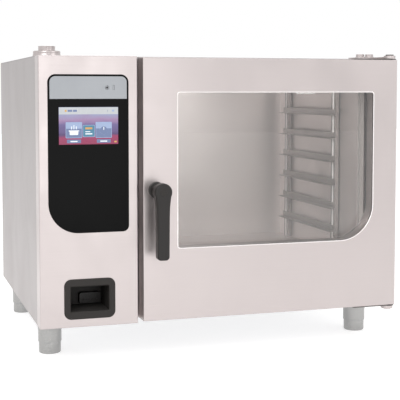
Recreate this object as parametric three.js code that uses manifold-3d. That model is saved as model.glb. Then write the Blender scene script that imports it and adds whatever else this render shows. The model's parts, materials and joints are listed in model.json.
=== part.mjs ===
// Combi steamer oven for a table: a steel casing on four feet, a control column on the left,
// a glazed door hung on the right, and behind it a cooking chamber with racks, fan and heater.
// Millimetres. +X to the right, +Y to the back, +Z up. The origin is on the ground, in the
// middle of everything the oven's outline covers.
import * as THREE from 'three';
import { mergeVertices } from 'three/addons/utils/BufferGeometryUtils.js';
import Module from 'manifold-3d';

const wasm = await Module();
wasm.setup();

// ---------------------------------------------------------------- sizes: casing
const BODY_W = 997;
const BODY_D = 799;
const BODY_H = 692;
const FOOT_H = 98;
const SHEET = 1.5;
const FLANGE = 15;
const TOUCH = 0.3; // air between two pieces that touch
const SEAM = 2; // open joint between casing sheets
const BASE_SHEET = 2;
const BASE_LIP = 32;
const CHANNEL_W = 40; // channels across the base tray, over the feet
const CHANNEL_H = 13;
const SERVICE = { margin: 30, bottom: 15, top: 40 }; // front frame's opening behind the column
const OVER = 9; // how far a cutting shape runs past what it cuts
const SUNK = 1; // how deep a joined shape sinks into the other
const PIPE_FIT = 1; // round a pipe or a bar that passes through a sheet

// ---------------------------------------------------------------- sizes: control column
const FASCIA_W = 254;
const FASCIA_BEHIND = 6; // the column's front reaches further back than the door
const PANEL_SIDE = 23; // black panel, in from the fascia's sides
const PANEL_TOP = 47; // and down from its top
const PANEL_H = 403;
const PANEL_PROUD = 2;
const PANEL_T = 6;
const PANEL_CORNER = 20;
const PANEL_TIGHT_CORNER = 16; // lower right
const PANEL_SWEEP = 78; // large round corner, lower left
const PANEL_LAP = 6; // the black panel covers the edge of its opening by this much
const HEADER_H = 57;
const HEADER_MARGIN = 5;
const HEADER_T = 1.2;
const DISPLAY_W = 152;
const DISPLAY_H = 94;
const DISPLAY_DOWN = 83; // from the panel's top to the display's top
const BUTTON_R = 4.8;
const BUTTON_TRAVEL = 1.5;
const BUTTON_FIT = 0.4;
const BUTTON_PROUD = 0.9;
const BUTTON_BACK = 12; // how far behind the fascia's face the button ends
const BUTTON_IN = 56; // from the panel's right edge
const LIGHT_IN = 39;
const LIGHT_SIZE = [3.4, 10.6];
const DISPLAY_CASE = 8; // display's case, behind the panel
const STRIP_CORNER = 1;
const BOARD_T = 2;
const BOARD_GAP = 4; // between the pressed button and the circuit board
const BOARD_IN = 10; // board, in from the panel's sides and top
const BOARD_UP = 60; // and up from its foot
const BOARD_PARTS = [[60, 380], [110, 420], [150, 360], [80, 560], [160, 590]];
const BOARD_PART = { width: 24, height: 18, depth: 12 };

// ---------------------------------------------------------------- sizes: hand shower
const RECESS_X = 127.5;
const RECESS_Z = 72.5;
const RECESS_W = 100;
const RECESS_H = 65;
const RECESS_D = 100;
const RECESS_RIM = 16;
const RECESS_LIP = 3;
const RECESS_WALL = 2.5;
const RIM_PROUD = 2;
const RIM_CORNER = 18;
const SHOWER_W = 56;
const SHOWER_H = 28;
const SHOWER_L = 90;
const SHOWER_SIDE = 17; // shower's centre, right of the recess's centre
const SHOWER_LIFT = 3; // above the recess's floor
const SHOWER_BACK = 14; // nose stands this far in front of the recess's back
const SHOWER_FIT = 1;
const SHOWER_CORNER = 5;
const NOZZLE = { pitch: 9, r: 1.6, deep: 5, down: 4 };
const TRIGGER = { width: 40, from: 6, to: 64, sink: 5, height: 3.4, travel: 1.5, fit: 0.5 };
const HOSE_R = 7;
const HOSE_L = 118;
const REEL_CORE_R = 53;
const REEL_W = 34;
const REEL_RIM_R = 78;
const REEL_FLANGE = 3;
const REEL_GAP = 3; // between reel and bracket
const REEL_CHEEK = { thick: 3, half: 25, over: 20 };
const AXLE_R = 8;

// ---------------------------------------------------------------- sizes: door
const DOOR_GAP = 15;
const DOOR_T = 48;
const DOOR_CLEAR = 10; // between the door and the front frame
const DOOR_LIFT = 3; // under and over the door
const WINDOW_LEFT = 94;
const WINDOW_RIGHT = 72;
const WINDOW_BOTTOM = 192;
const WINDOW_TOP = 93;
const WINDOW_CORNER = 6;
const WINDOW_SWEEP = 98; // large round corner, lower right
const GLASS_T = 4;
const GLASS_LAP = 14;
const GLASS_FIT = 1;
const INNER_GLASS_BACK = 2; // inner glass, in front of the inner panel's face
const CLIP = { in: 60, height: 24, over: 12, beside: 9, proud: 1.5 };
const DRIP_DOWN = 60; // drip channel's foot, below the chamber's floor
const DRIP_LEFT = 30; // and its left end, left of the window
const HINGE_IN = 16; // pivot, in from the door's side and from its front
const PIN_R = 6;
const PIN_FIT = 0.4;
const HINGE_PLATE = 5;
const HINGE_BOSS_R = 16;
const HINGE_REACH = 66; // how far back a bracket lies on the casing
const LEAF_T = 2.2;
const LEAF_L = 126;
const LEAF_EDGE = 3; // leaf, in from the door's side
const LEAF_FRONT = 2; // and behind the door's front
const LEAF_BOSS_R = 11;
const LEAF_BOSS_L = 22;
const BOSS_FIT = 1;
const PIN_HEAD_R = 11;
const PIN_HEAD_H = 3;
const BRACKET = { left: 75, right: 9, front: 6, boss: 3 };
const BOLT_INS = [28, 56]; // bolts, left of the hinge's axis
const BOLT_BACK = 30; // and behind the side panels' front edge
const WASHER = { r: 13, top: 2 };
const BOLT_HEAD = { r: 11.5, top: 9 };

// ---------------------------------------------------------------- sizes: handle
const HANDLE_IN = 35; // handle's axis, in from the door's left edge
const HANDLE_Z = 346;
const HANDLE_OUT = 76;
const LEVER_T = 28;
const LEVER_DOWN = 174;
const LEVER_W = 34;
const LEVER_HEAD_R = 24;
const LEVER_EDGE = 6;
const LEVER_TOE = { across: 5, up: 6 }; // cut corners at the lever's foot
const LEVER_NECK_DOWN = 14; // where the grip begins, below the head
const LEVER_HEAD_CUT = 0.5; // radians below level at which the head leaves its circle
const NECK_R = 15;
const ROSETTE_R = 22;
const ROSETTE_T = 10;
const CAP_R = 10;
const CAP_SINK = 2;
const CAP_PROUD = 1;
const SPINDLE_R = 6;
const SPINDLE_FIT = 0.8;
const SPINDLE_SINK = 6; // into the lever
const CAM = { hub: 8, width: 8, reach: 18, thick: 5, gap: 1 };
const CATCH = { left: 12, right: 9, clear: 6, height: 14 };
const LATCH_BOX = { width: 40, height: 90 };

// ---------------------------------------------------------------- sizes: cooking chamber
const CHAMBER_SIDE = 92; // chamber's right wall, in from the casing
const CHAMBER_D = 580;
const CHAMBER_H = 500;
const CHAMBER_BOTTOM = 128;
const CHAMBER_CORNER = 4;
const MOUTH_CORNER = 20;
const MOUTH_FIT = 1.2; // the front frame's cut-out, round the lining's
const MOUTH_IN = 25; // the mouth's left edge, right of the baffle
const FAN_BAY = 92; // behind the baffle, left of the chamber
const BAFFLE_GAP = 66; // baffle's place, right of the door's left edge
const INSULATION = 38;
const WOOL_FIT = 3; // round what passes through the insulation
const GASKET_W = 12;
const GASKET_IN = 2;
const POST_X = 12;
const POST_Y = 26;
const RAIL_T = 2;
const RAIL_H = 18;
const LEDGE_W = 16;
const RAIL_PITCH = 68;
const FIRST_RAIL = 72;
const TOP_ROOM = 60;
const POST_FRONT = 132; // front post's centre, behind the front frame
const POST_SPACING = 360;
const STUD_R = 3.5;
const STUD_H = 9;
const STUD_FIT = 0.6;
const STUD_ROOM = 2; // over a stud in its socket
const RACK_WALL_GAP = 3;
const RACK_BAFFLE_GAP = 16;
const RACK_FLOOR_GAP = 1;
const RACK_TOP_GAP = 20;
const RAIL_OVERHANG = 8; // rails reach past the posts
const LINER_LIP = 4; // insulation, behind the liner's front

// ---------------------------------------------------------------- sizes: fan, heater, drain
const FAN_R = 148;
const FAN_W = 56;
const FAN_BLADES = 12;
const FAN_Y = 292; // fan's axis, behind the front frame
const SHAFT_R = 8;
const MOTOR_R = 65;
const MOTOR_L = 112;
const HEATER_R = 176;
const HEATER_TUBE = 4.5;
const WHEEL_GAP = 12; // between wheel and baffle
const WHEEL_PLATE = 2.5;
const BLADE_L = 52;
const HUB = { r: 24, front: 24, back: 10 };
const SHAFT_SHORT = 2; // shaft, behind the hub's face
const SHAFT_IN = 30; // shaft, into the motor
const SHAFT_ROOM = 4; // round the shaft in the chamber's wall
const MOTOR_GAP = 8;
const MOTOR_FLANGE = { over: 18, thick: 5 };
const HEATER_HOOPS = [12, 38]; // hoops, from the wheel's back plate
const HEATER_BAR_LESS = 0.5; // the bars' radius under the hoops'
const HEATER_TAIL = 14; // heater's ends, behind the insulation
const BAFFLE_SIDE = 28; // baffle, in from the chamber's front and back
const BAFFLE_EDGE = 22; // and from its floor and roof
const STAY = { in: 24, r: 5, sunk: 0.5 };
const INTAKE_HOLE_R = 12;
const INTAKE_RINGS = [[36, 6], [72, 12], [108, 18]]; // radius and number of holes
const INJECTOR_R = 4;
const INJECTOR_BACK = 170; // behind the fan's axis
const INJECTOR_UP = 92; // and above it
const INJECTOR_SPOUT = 16;
const VALVE_X = [70, 112];
const VALVE_HALF = 16;
const COIL = { r: 14, from: 15, to: 52 };
const DRAIN_R = 20;
const DRAIN_X = 285; // drain's centre, left of the chamber's right wall
const DRAIN_Y = 372; // and behind the front frame
const DRAIN_WALL = 2;
const DRAIN_BEND = 30;
const DRAIN_BEND_MID = 9;
const DRAIN_OVER_LIP = 6;
const STRAINER = { rim: 8, plate: 2, plug: 4, deep: 6, ring: 10, hole: 3, holes: 6 };
const REAR_OUT = 34; // fittings stand this far out of the rear panel

// ---------------------------------------------------------------- sizes: electrics and water
const INLETS = [['water_inlet_soft', 90], ['water_inlet_hard', 160]];
const INLET_Z = 130;
const INLET_R = 13;
const INLET_WALL = 4;
const INLET_IN = 40; // behind the rear panel
const INLET_SHORT = 6; // less than the other fittings outside it
const NUT = { over: 5, outside: 9, inside: 20 };
const GLAND = { x: 60, z: 70, r: 14, wall: 5, hex: 4, inside: 18, outside: 8, nose: 22 };
const AIR_X = 110;
const AIR_Z = 400;
const LOUVRE = { width: 70, height: 5, pitch: 13, rows: 7 };
const COOLER = { half: 44, ring: 4, deep: 28, hub: 14, spoke: 3, grille: 4 };
const COOLER_WHEEL = { hub: 13, vanes: 7, vane: 28, thick: 2, lean: 0.6, out: 22, back: 7, front: 3 };
const POWER_PLATE = { left: 8, thick: 2, front: 70, back: 390, up: 180, down: 130 };
const POWER_PARTS = [[40, 250], [40, 160], [40, 70], [150, 250], [150, 160], [240, 200]];
const POWER_PART = { depth: 34, along: 25, up: 30 };

// ---------------------------------------------------------------- sizes: roof and feet
const VENT_X = 125;
const VENT_BACK = 149; // vent's axis, in front of the rear panel's outer face
const VENT_R = 26;
const VENT_WALL = 1.5;
const VENT_OUT = 50;
const VENT_BEND = { above: 50, knee: 12, beside: 2, along: 22 };
const DUCT_DOWN = 60; // vent's bend, below the chamber's roof
const DUCT_GAP = 6; // duct's end, left of the insulation
const VENT_BASE_R = 50;
const VENT_BASE_TOP_R = 43;
const VENT_BASE_H = 35;
const FOOT_R = 31;
const FOOT_COLLAR_R = 33.5;
const FOOT_IN = 49;
const FOOT_FRONT = 103; // front feet, behind the side panels' front edge
const FOOT_BACK = 103; // rear feet, in front of the rear panel's outer face
const FOOT_SLEEVE_H = 68;
const FOOT_STEM_R = 19;
const FOOT_STEM_H = 50;
const FOOT_FIT = 0.6;
const FOOT_COLLAR = { low: 36, high: 21 };
const FOOT_ROOM = 3; // over the stem
const PAD = { under: 3, side: 1.5, edge: 3 };

// ---------------------------------------------------------------- places worked out from the sizes
const ALL_DEPTH = HANDLE_OUT + BODY_D + REAR_OUT;
const FRONT_Y = HANDLE_OUT - ALL_DEPTH / 2;
const FASCIA_T = DOOR_T + FASCIA_BEHIND;
const PANEL_Y = FASCIA_T + SEAM; // front edge of the side panels
const FRAME_Y = DOOR_T + DOOR_CLEAR;
const FRAME_BACK = FRAME_Y + SHEET;
const INNER_Y = BODY_D - SHEET - TOUCH - SHEET; // front of the side panels' rear flanges
const DOOR_X = FASCIA_W + DOOR_GAP;
const DOOR_W = BODY_W - DOOR_X;
const DOOR_H = BODY_H - 2 * DOOR_LIFT;
const LINER_Y = FRAME_BACK + TOUCH;
const LINER_BACK = LINER_Y + CHAMBER_D;
const BAFFLE_X = DOOR_X + BAFFLE_GAP - DOOR_GAP;
const LINER_LEFT = BAFFLE_X - FAN_BAY;
const CHAMBER_RIGHT = BODY_W - CHAMBER_SIDE;
const CHAMBER_TOP = CHAMBER_BOTTOM + CHAMBER_H;
const MOUTH_LEFT = BAFFLE_X + MOUTH_IN;
const FAN_AXIS_Y = FRAME_Y + FAN_Y;
const FAN_AXIS_Z = CHAMBER_BOTTOM + CHAMBER_H / 2;
const HOSE_Z = RECESS_Z - RECESS_H / 2 + SHOWER_LIFT + SHOWER_H / 2;
const HOSE_X = RECESS_X + SHOWER_SIDE;
const SHOWER_Y = RECESS_D - SHOWER_BACK;
const REEL_Y = SHOWER_Y + SHOWER_L + HOSE_L;
const REEL_Z = HOSE_Z + REEL_CORE_R + 2 * HOSE_R;
const REEL_HALF = REEL_W / 2 + REEL_FLANGE;
const VENT_Y = BODY_D - VENT_BACK;
const BASE_Z = SHEET + TOUCH;
const DRAIN = [CHAMBER_RIGHT - DRAIN_X, FRAME_Y + DRAIN_Y];
const DRAIN_RUN_Z = BASE_Z + BASE_LIP + DRAIN_R + DRAIN_OVER_LIP;
const DUCT_Z = CHAMBER_TOP - DUCT_DOWN;

// ---------------------------------------------------------------- finishes
const finish = (color, roughness, metalness) =>
  new THREE.MeshStandardMaterial({ color, roughness, metalness });
const STEEL = finish(0xd2c9c7, 0.35, 0.9);
const LINER_STEEL = finish(0xa59d9b, 0.4, 0.9);
const FOOT_STEEL = finish(0xb4b6b4, 0.4, 0.9);
const DARK_STEEL = finish(0x4a4644, 0.5, 0.8);
const ZINC = finish(0xa8a9aa, 0.5, 0.8);
const BLACK_GLASS = finish(0x1c1c1c, 0.15, 0.0);
const SCREEN = finish(0x6f6a8f, 0.25, 0.0);
const SILVER = finish(0xadafb2, 0.35, 0.7);
const BLACK_PLASTIC = finish(0x2d2b28, 0.45, 0.0);
const GREY_PLASTIC = finish(0x40403c, 0.5, 0.0);
const RUBBER = finish(0x222120, 0.8, 0.0);
const BOARD = finish(0x2f5a3a, 0.6, 0.0);
const WOOL = finish(0xc8b46a, 0.95, 0.0);
const BRASS = finish(0xb49a5a, 0.4, 0.9);
const GLASS = new THREE.MeshStandardMaterial({
  color: 0xdfe6e4,
  roughness: 0.05,
  metalness: 0.0,
  transparent: true,
  opacity: 0.3,
});

// ---------------------------------------------------------------- solids
/** A closed three.js geometry as a solid that can be cut and joined. */
function solid(geometry) {
  const shell = geometry.clone();
  shell.deleteAttribute('normal');
  shell.deleteAttribute('uv');
  const merged = mergeVertices(shell, 1e-4);
  const vertProperties = new Float32Array(merged.attributes.position.array);
  const triVerts = new Uint32Array(merged.index.array);
  return new wasm.Manifold(new wasm.Mesh({ numProp: 3, vertProperties, triVerts }));
}

const join = (first, ...others) => others.reduce((whole, other) => whole.add(other), first);
const cut = (first, ...others) => others.reduce((whole, other) => whole.subtract(other), first);

/** A block between two limits on each axis. */
function block([x0, x1], [y0, y1], [z0, z1]) {
  const geometry = new THREE.BoxGeometry(x1 - x0, y1 - y0, z1 - z0);
  geometry.translate((x0 + x1) / 2, (y0 + y1) / 2, (z0 + z1) / 2);
  return solid(geometry);
}

/** Two limits moved apart. */
const grown = ([from, to], by) => [from - by, to + by];

/** A block with extra room on its x and z sides. */
function grownBlock(x, y, z, by) {
  return block(grown(x, by), y, grown(z, by));
}

/** Turns the axes of a flat outline and its depth into the oven's axes. */
const PLANES = {
  xy: [new THREE.Vector3(1, 0, 0), new THREE.Vector3(0, 1, 0), new THREE.Vector3(0, 0, 1)],
  xz: [new THREE.Vector3(1, 0, 0), new THREE.Vector3(0, 0, 1), new THREE.Vector3(0, -1, 0)],
  yz: [new THREE.Vector3(0, 1, 0), new THREE.Vector3(0, 0, 1), new THREE.Vector3(1, 0, 0)],
};

/** An outline in one plane, given depth from one place to another on the third axis. */
function extrude(outline, plane, [from, to], options = {}) {
  const [right, up, out] = PLANES[plane];
  const settings = { depth: to - from, bevelEnabled: false, curveSegments: 6, ...options };
  const geometry = new THREE.ExtrudeGeometry(outline, settings);
  geometry.applyMatrix4(new THREE.Matrix4().makeBasis(right, up, out));
  const start = plane === 'xz' ? to : from;
  geometry.translate(plane === 'yz' ? start : 0, plane === 'xz' ? start : 0, plane === 'xy' ? start : 0);
  return solid(geometry);
}

/** How many straight steps a quarter round of this radius is drawn with. */
function quarterSteps(radius) {
  if (radius > 40) return 9;
  return radius > 8 ? 4 : 2;
}

/** A rectangle whose corners are rounded: lower left, lower right, upper right, upper left. */
function roundedRect([x0, x1], [y0, y1], radii) {
  const corners = Array.isArray(radii) ? radii : [radii, radii, radii, radii];
  const centres = [
    [x0 + corners[0], y0 + corners[0]],
    [x1 - corners[1], y0 + corners[1]],
    [x1 - corners[2], y1 - corners[2]],
    [x0 + corners[3], y1 - corners[3]],
  ];
  const points = corners.flatMap((radius, corner) => {
    const steps = quarterSteps(radius);
    return Array.from({ length: steps + 1 }, (_, i) => {
      const angle = Math.PI * (1 + corner / 2 + i / steps / 2);
      return [centres[corner][0] + radius * Math.cos(angle), centres[corner][1] + radius * Math.sin(angle)];
    });
  });
  return polygon(points);
}

/** An outline from a list of corners. */
function polygon(points) {
  return new THREE.Shape(points.map(([x, y]) => new THREE.Vector2(x, y)));
}

/** A profile of [radius, height] points turned about an axis through a centre. */
function turned(profile, axis, [x, y, z], sides = 24) {
  const geometry = new THREE.LatheGeometry(profile.map(([r, h]) => new THREE.Vector2(r, h)), sides);
  if (axis === 'z') geometry.rotateX(Math.PI / 2);
  if (axis === 'x') geometry.rotateZ(-Math.PI / 2);
  geometry.translate(x, y, z);
  return solid(geometry);
}

/** A round bar along an axis, from one place on that axis to another. */
function rod(axis, [x, y, z], radius, [from, to], sides = radius < 9 ? 12 : 18) {
  const profile = [[0, from], [radius, from], [radius, to], [0, to]];
  return turned(profile, axis, [x, y, z], sides);
}

/** A round bar that follows a path. */
function swept(points, radius, sides = 12, steps = 18) {
  const section = new THREE.Shape();
  section.absarc(0, 0, radius, 0, Math.PI * 2);
  const path = new THREE.CatmullRomCurve3(points.map((p) => new THREE.Vector3(...p)), false, 'centripetal');
  const settings = { steps, extrudePath: path, curveSegments: sides / 2, bevelEnabled: false };
  return solid(new THREE.ExtrudeGeometry(section, settings));
}

/** The named piece that a solid makes. */
function piece(name, shape, material) {
  const mesh = shape.getMesh();
  const geometry = new THREE.BufferGeometry();
  geometry.setAttribute('position', new THREE.BufferAttribute(mesh.vertProperties, 3));
  geometry.setIndex(new THREE.BufferAttribute(mesh.triVerts, 1));
  const faceted = geometry.toNonIndexed();
  faceted.computeVertexNormals();
  const made = new THREE.Mesh(faceted, material);
  made.name = name;
  return made;
}

/** A group of pieces whose own origin stands at a place in its parent. */
function assembly([x, y, z], ...members) {
  const group = new THREE.Group();
  group.position.set(x, y, z);
  group.add(...members);
  return group;
}

// ---------------------------------------------------------------- casing
const SIDE_LIMITS = [SHEET + TOUCH, BODY_W - SHEET - TOUCH];
const PANEL_LIMITS_Y = [PANEL_Y, BODY_D - SHEET - TOUCH];
const ROOF_UNDER = BODY_H - SHEET;
const SIDE_TOP = ROOF_UNDER - TOUCH;

/** A side panel: one sheet with its four edges folded inward. */
function sidePanel(wallX, inward) {
  const across = (from, to) => (inward > 0 ? [wallX + from, wallX + to] : [wallX - to, wallX - from]);
  return cut(
    block(across(0, FLANGE), PANEL_LIMITS_Y, [0, SIDE_TOP]),
    block(across(SHEET, FLANGE + OVER), grown(PANEL_LIMITS_Y, -SHEET), [SHEET, SIDE_TOP - SHEET]),
  );
}

const FEET = [
  ['front_left', FOOT_IN, PANEL_Y + FOOT_FRONT],
  ['front_right', BODY_W - FOOT_IN, PANEL_Y + FOOT_FRONT],
  ['rear_left', FOOT_IN, BODY_D - FOOT_BACK],
  ['rear_right', BODY_W - FOOT_IN, BODY_D - FOOT_BACK],
];

/** The tray that carries everything: a floor, upturned lips, two channels across and four foot sockets. */
function baseTray() {
  const [left, right] = SIDE_LIMITS;
  const front = FRAME_BACK + TOUCH;
  const back = INNER_Y - TOUCH;
  const top = BASE_Z + BASE_LIP;
  const tray = cut(
    block([left, right], [front, back], [BASE_Z, top]),
    block(
      [left + BASE_SHEET, right - BASE_SHEET],
      [front + BASE_SHEET, back - BASE_SHEET],
      [BASE_Z + BASE_SHEET, top + OVER],
    ),
  );
  const channels = [PANEL_Y + FOOT_FRONT, BODY_D - FOOT_BACK].map((y) =>
    block(
      grown([left, right], -SUNK),
      grown([y, y], CHANNEL_W / 2),
      [BASE_Z + SUNK, BASE_Z + SUNK + CHANNEL_H],
    ),
  );
  const sockets = FEET.map(([, x, y]) => footSocket(x, y));
  return join(tray, ...channels, ...sockets);
}

/** The roof, with a lip folded down along its front. */
function roof() {
  const sheet = join(
    block([0, BODY_W], [PANEL_Y - SHEET - TOUCH, BODY_D], [ROOF_UNDER, BODY_H]),
    block([0, BODY_W], [PANEL_Y - SHEET - TOUCH, PANEL_Y - TOUCH], [BODY_H - FLANGE, BODY_H]),
  );
  return cut(sheet, rod('z', [VENT_X, VENT_Y, 0], VENT_R + PIPE_FIT, grown([ROOF_UNDER, BODY_H], OVER)));
}

/** The rear panel: a sheet with air slots and a hole for each fitting. */
function rearPanel() {
  const faces = [BODY_D - SHEET, BODY_D];
  const through = grown(faces, OVER);
  const sheet = block([0, BODY_W], faces, [0, SIDE_TOP]);
  const slots = Array.from({ length: LOUVRE.rows }, (_, row) => {
    const z = AIR_Z + (row - (LOUVRE.rows - 1) / 2) * LOUVRE.pitch;
    const x = [AIR_X - LOUVRE.width / 2, AIR_X + LOUVRE.width / 2];
    return block(x, through, [z - LOUVRE.height / 2, z + LOUVRE.height / 2]);
  });
  const holes = [
    ...INLETS.map(([, x]) => rod('y', [x, 0, INLET_Z], INLET_R + PIPE_FIT, through)),
    rod('y', [GLAND.x, 0, GLAND.z], GLAND.r + PIPE_FIT, through),
    rod('y', [DRAIN[0], 0, DRAIN_RUN_Z], DRAIN_R + PIPE_FIT, through),
  ];
  return cut(sheet, ...slots, ...holes);
}

const MOUTH = {
  x: [MOUTH_LEFT, CHAMBER_RIGHT],
  z: [CHAMBER_BOTTOM, CHAMBER_TOP],
};

/** The chamber's mouth, grown by a clearance. */
const mouthOutline = (clearance) =>
  roundedRect(grown(MOUTH.x, clearance), grown(MOUTH.z, clearance), MOUTH_CORNER + clearance);

/** The sheet behind the door and the fascia, with the chamber's mouth and a service opening. */
function frontFrame() {
  const [left, right] = SIDE_LIMITS;
  const faces = [FRAME_Y, FRAME_BACK];
  const through = grown(faces, OVER);
  const service = block(
    [SERVICE.margin, FASCIA_W - SERVICE.margin],
    through,
    [SERVICE.bottom, BODY_H - SERVICE.top],
  );
  return cut(
    block([left, right], faces, [BASE_Z, SIDE_TOP - SHEET - TOUCH]),
    extrude(mouthOutline(MOUTH_FIT), 'xz', through),
    service,
  );
}

// ---------------------------------------------------------------- control column
const PANEL_X = [PANEL_SIDE, FASCIA_W - PANEL_SIDE];
const PANEL_Z = [BODY_H - PANEL_TOP - PANEL_H, BODY_H - PANEL_TOP];
const HEADER_X = [PANEL_X[0] + HEADER_MARGIN, PANEL_X[1] - HEADER_MARGIN];
const HEADER_Z = [PANEL_Z[1] - HEADER_MARGIN - HEADER_H, PANEL_Z[1] - HEADER_MARGIN];
const HEADER_CORNER = PANEL_CORNER - HEADER_MARGIN;
const HEADER_CORNERS = [STRIP_CORNER, STRIP_CORNER, HEADER_CORNER, HEADER_CORNER];
const BUTTON = [PANEL_X[1] - BUTTON_IN, (HEADER_Z[0] + HEADER_Z[1]) / 2];
const LIGHT_X = grown([PANEL_X[1] - LIGHT_IN, PANEL_X[1] - LIGHT_IN], LIGHT_SIZE[0] / 2);
const LIGHT_Z = grown([BUTTON[1], BUTTON[1]], LIGHT_SIZE[1] / 2);
const PANEL_MID = (PANEL_X[0] + PANEL_X[1]) / 2;
const DISPLAY_X = [PANEL_MID - DISPLAY_W / 2, PANEL_MID + DISPLAY_W / 2];
const DISPLAY_Z = [PANEL_Z[1] - DISPLAY_DOWN - DISPLAY_H, PANEL_Z[1] - DISPLAY_DOWN];
const PANEL_FACES = [-PANEL_PROUD, PANEL_T - PANEL_PROUD];
const HEADER_FACES = [-PANEL_PROUD - TOUCH, -PANEL_PROUD - TOUCH + HEADER_T];
const CUP_X = [RECESS_X - RECESS_W / 2, RECESS_X + RECESS_W / 2];
const CUP_Z = [RECESS_Z - RECESS_H / 2, RECESS_Z + RECESS_H / 2];
const RIM_X = [RECESS_X - RECESS_W / 2 - RECESS_RIM, RECESS_X + RECESS_W / 2 + RECESS_RIM];
const RIM_Z = grown([RECESS_Z, RECESS_Z], RECESS_H / 2 + RECESS_RIM + RECESS_LIP);

const panelOutline = (inset = 0) =>
  roundedRect(grown(PANEL_X, -inset), grown(PANEL_Z, -inset), [
    PANEL_SWEEP - inset,
    PANEL_TIGHT_CORNER - inset,
    PANEL_CORNER - inset,
    PANEL_CORNER - inset,
  ]);

/** The fascia: a shallow box folded from sheet, open at the back, cut for panel and recess. */
function fascia() {
  const through = grown([0, SHEET], OVER);
  const outer = block([0, FASCIA_W], [0, FASCIA_T], [0, BODY_H]);
  const hollow = block([SHEET, FASCIA_W - SHEET], [SHEET, FASCIA_T + OVER], [SHEET, BODY_H - SHEET]);
  return cut(
    outer,
    hollow,
    extrude(panelOutline(PANEL_LAP), 'xz', through),
    block(grown([RECESS_X - RECESS_W / 2, RECESS_X + RECESS_W / 2], RECESS_WALL + PIPE_FIT), through, [
      RECESS_Z - RECESS_H / 2 - RECESS_WALL - PIPE_FIT,
      RECESS_Z + RECESS_H / 2 + RECESS_WALL + PIPE_FIT,
    ]),
  );
}

/** The black panel: a plate before the fascia and a plug in its opening, pierced for display and button. */
function controlPanel() {
  const [front, back] = PANEL_FACES;
  const through = grown(PANEL_FACES, OVER);
  return cut(
    join(
      extrude(panelOutline(), 'xz', [front, -TOUCH]),
      extrude(panelOutline(PANEL_LAP + TOUCH), 'xz', [-TOUCH - SUNK, back]),
    ),
    grownBlock(DISPLAY_X, through, DISPLAY_Z, TOUCH),
    extrude(
      roundedRect(grown(HEADER_X, TOUCH), grown(HEADER_Z, TOUCH), HEADER_CORNERS),
      'xz',
      [front - OVER, HEADER_FACES[1] + TOUCH],
    ),
    rod('y', [BUTTON[0], 0, BUTTON[1]], BUTTON_R + BUTTON_FIT, through),
    grownBlock(LIGHT_X, through, LIGHT_Z, TOUCH),
  );
}

/** The silver strip along the panel's top. */
function headerStrip() {
  const outline = roundedRect(HEADER_X, HEADER_Z, HEADER_CORNERS);
  const through = grown(HEADER_FACES, OVER);
  return cut(
    extrude(outline, 'xz', HEADER_FACES),
    rod('y', [BUTTON[0], 0, BUTTON[1]], BUTTON_R + BUTTON_FIT, through),
    grownBlock(LIGHT_X, through, LIGHT_Z, TOUCH),
  );
}

/** The touch display: glass at the front, its case behind. */
function touchDisplay() {
  return block(DISPLAY_X, [-PANEL_PROUD, PANEL_T + DISPLAY_CASE], DISPLAY_Z);
}

function powerButton() {
  return rod('y', [BUTTON[0], 0, BUTTON[1]], BUTTON_R, [HEADER_FACES[0] - BUTTON_PROUD, BUTTON_BACK], 24);
}

function statusLight() {
  return block(LIGHT_X, [HEADER_FACES[0] - TOUCH, PANEL_FACES[1]], LIGHT_Z);
}

const BOARD_Y = BUTTON_BACK + BUTTON_TRAVEL + BOARD_GAP;

/** The circuit board behind the panel, with a few parts standing on it. */
function controlBoard() {
  const back = BOARD_Y + BOARD_T;
  const z = [PANEL_Z[0] + BOARD_UP, PANEL_Z[1] - BOARD_IN];
  const board = block(grown(PANEL_X, -BOARD_IN), [BOARD_Y, back], z);
  const parts = BOARD_PARTS.map(([x, low]) =>
    block([x, x + BOARD_PART.width], [back - SUNK, back + BOARD_PART.depth], [low, low + BOARD_PART.height]),
  );
  return join(board, ...parts);
}

// ---------------------------------------------------------------- hand shower
/** The recess's cup as a solid block, grown by a clearance. */
function recessCup(clearance) {
  const wall = RECESS_WALL + clearance;
  return block(grown(CUP_X, wall), [-TOUCH - SUNK, RECESS_D + wall], grown(CUP_Z, wall));
}

/** The recess: a rounded rim on the fascia and a deep cup whose back lets the shower through. */
function showerRecess() {
  const rim = extrude(roundedRect(RIM_X, RIM_Z, RIM_CORNER), 'xz', [-RIM_PROUD, -TOUCH]);
  const hollow = block(CUP_X, [-OVER, RECESS_D], CUP_Z);
  const sleeve = showerOutline(SHOWER_FIT);
  return cut(join(rim, recessCup(0)), hollow, extrude(sleeve, 'xz', [RECESS_D - SUNK, RECESS_D + OVER]));
}

const showerOutline = (grow) =>
  roundedRect(
    grown([HOSE_X - SHOWER_W / 2, HOSE_X + SHOWER_W / 2], grow),
    grown([HOSE_Z - SHOWER_H / 2, HOSE_Z + SHOWER_H / 2], grow),
    SHOWER_CORNER,
  );


const SHOWER_TOP = HOSE_Z + SHOWER_H / 2;
const TRIGGER_X = [HOSE_X - TRIGGER.width / 2, HOSE_X + TRIGGER.width / 2];
const TRIGGER_Y = [SHOWER_Y + TRIGGER.from, SHOWER_Y + TRIGGER.to];

/** The shower head: a flat grip with a pocket for its trigger and nozzle holes in its nose. */
function showerHead() {
  const body = extrude(showerOutline(0), 'xz', [SHOWER_Y, SHOWER_Y + SHOWER_L]);
  const pocket = block(
    grown(TRIGGER_X, TRIGGER.fit),
    grown(TRIGGER_Y, TRIGGER.fit),
    [SHOWER_TOP - TRIGGER.sink, SHOWER_TOP + OVER],
  );
  const nozzles = [-2, -1, 0, 1, 2].map((place) => {
    const axis = [HOSE_X + place * NOZZLE.pitch, 0, HOSE_Z - NOZZLE.down];
    return rod('y', axis, NOZZLE.r, [SHOWER_Y - OVER, SHOWER_Y + NOZZLE.deep], 8);
  });
  return cut(body, pocket, ...nozzles);
}

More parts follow.
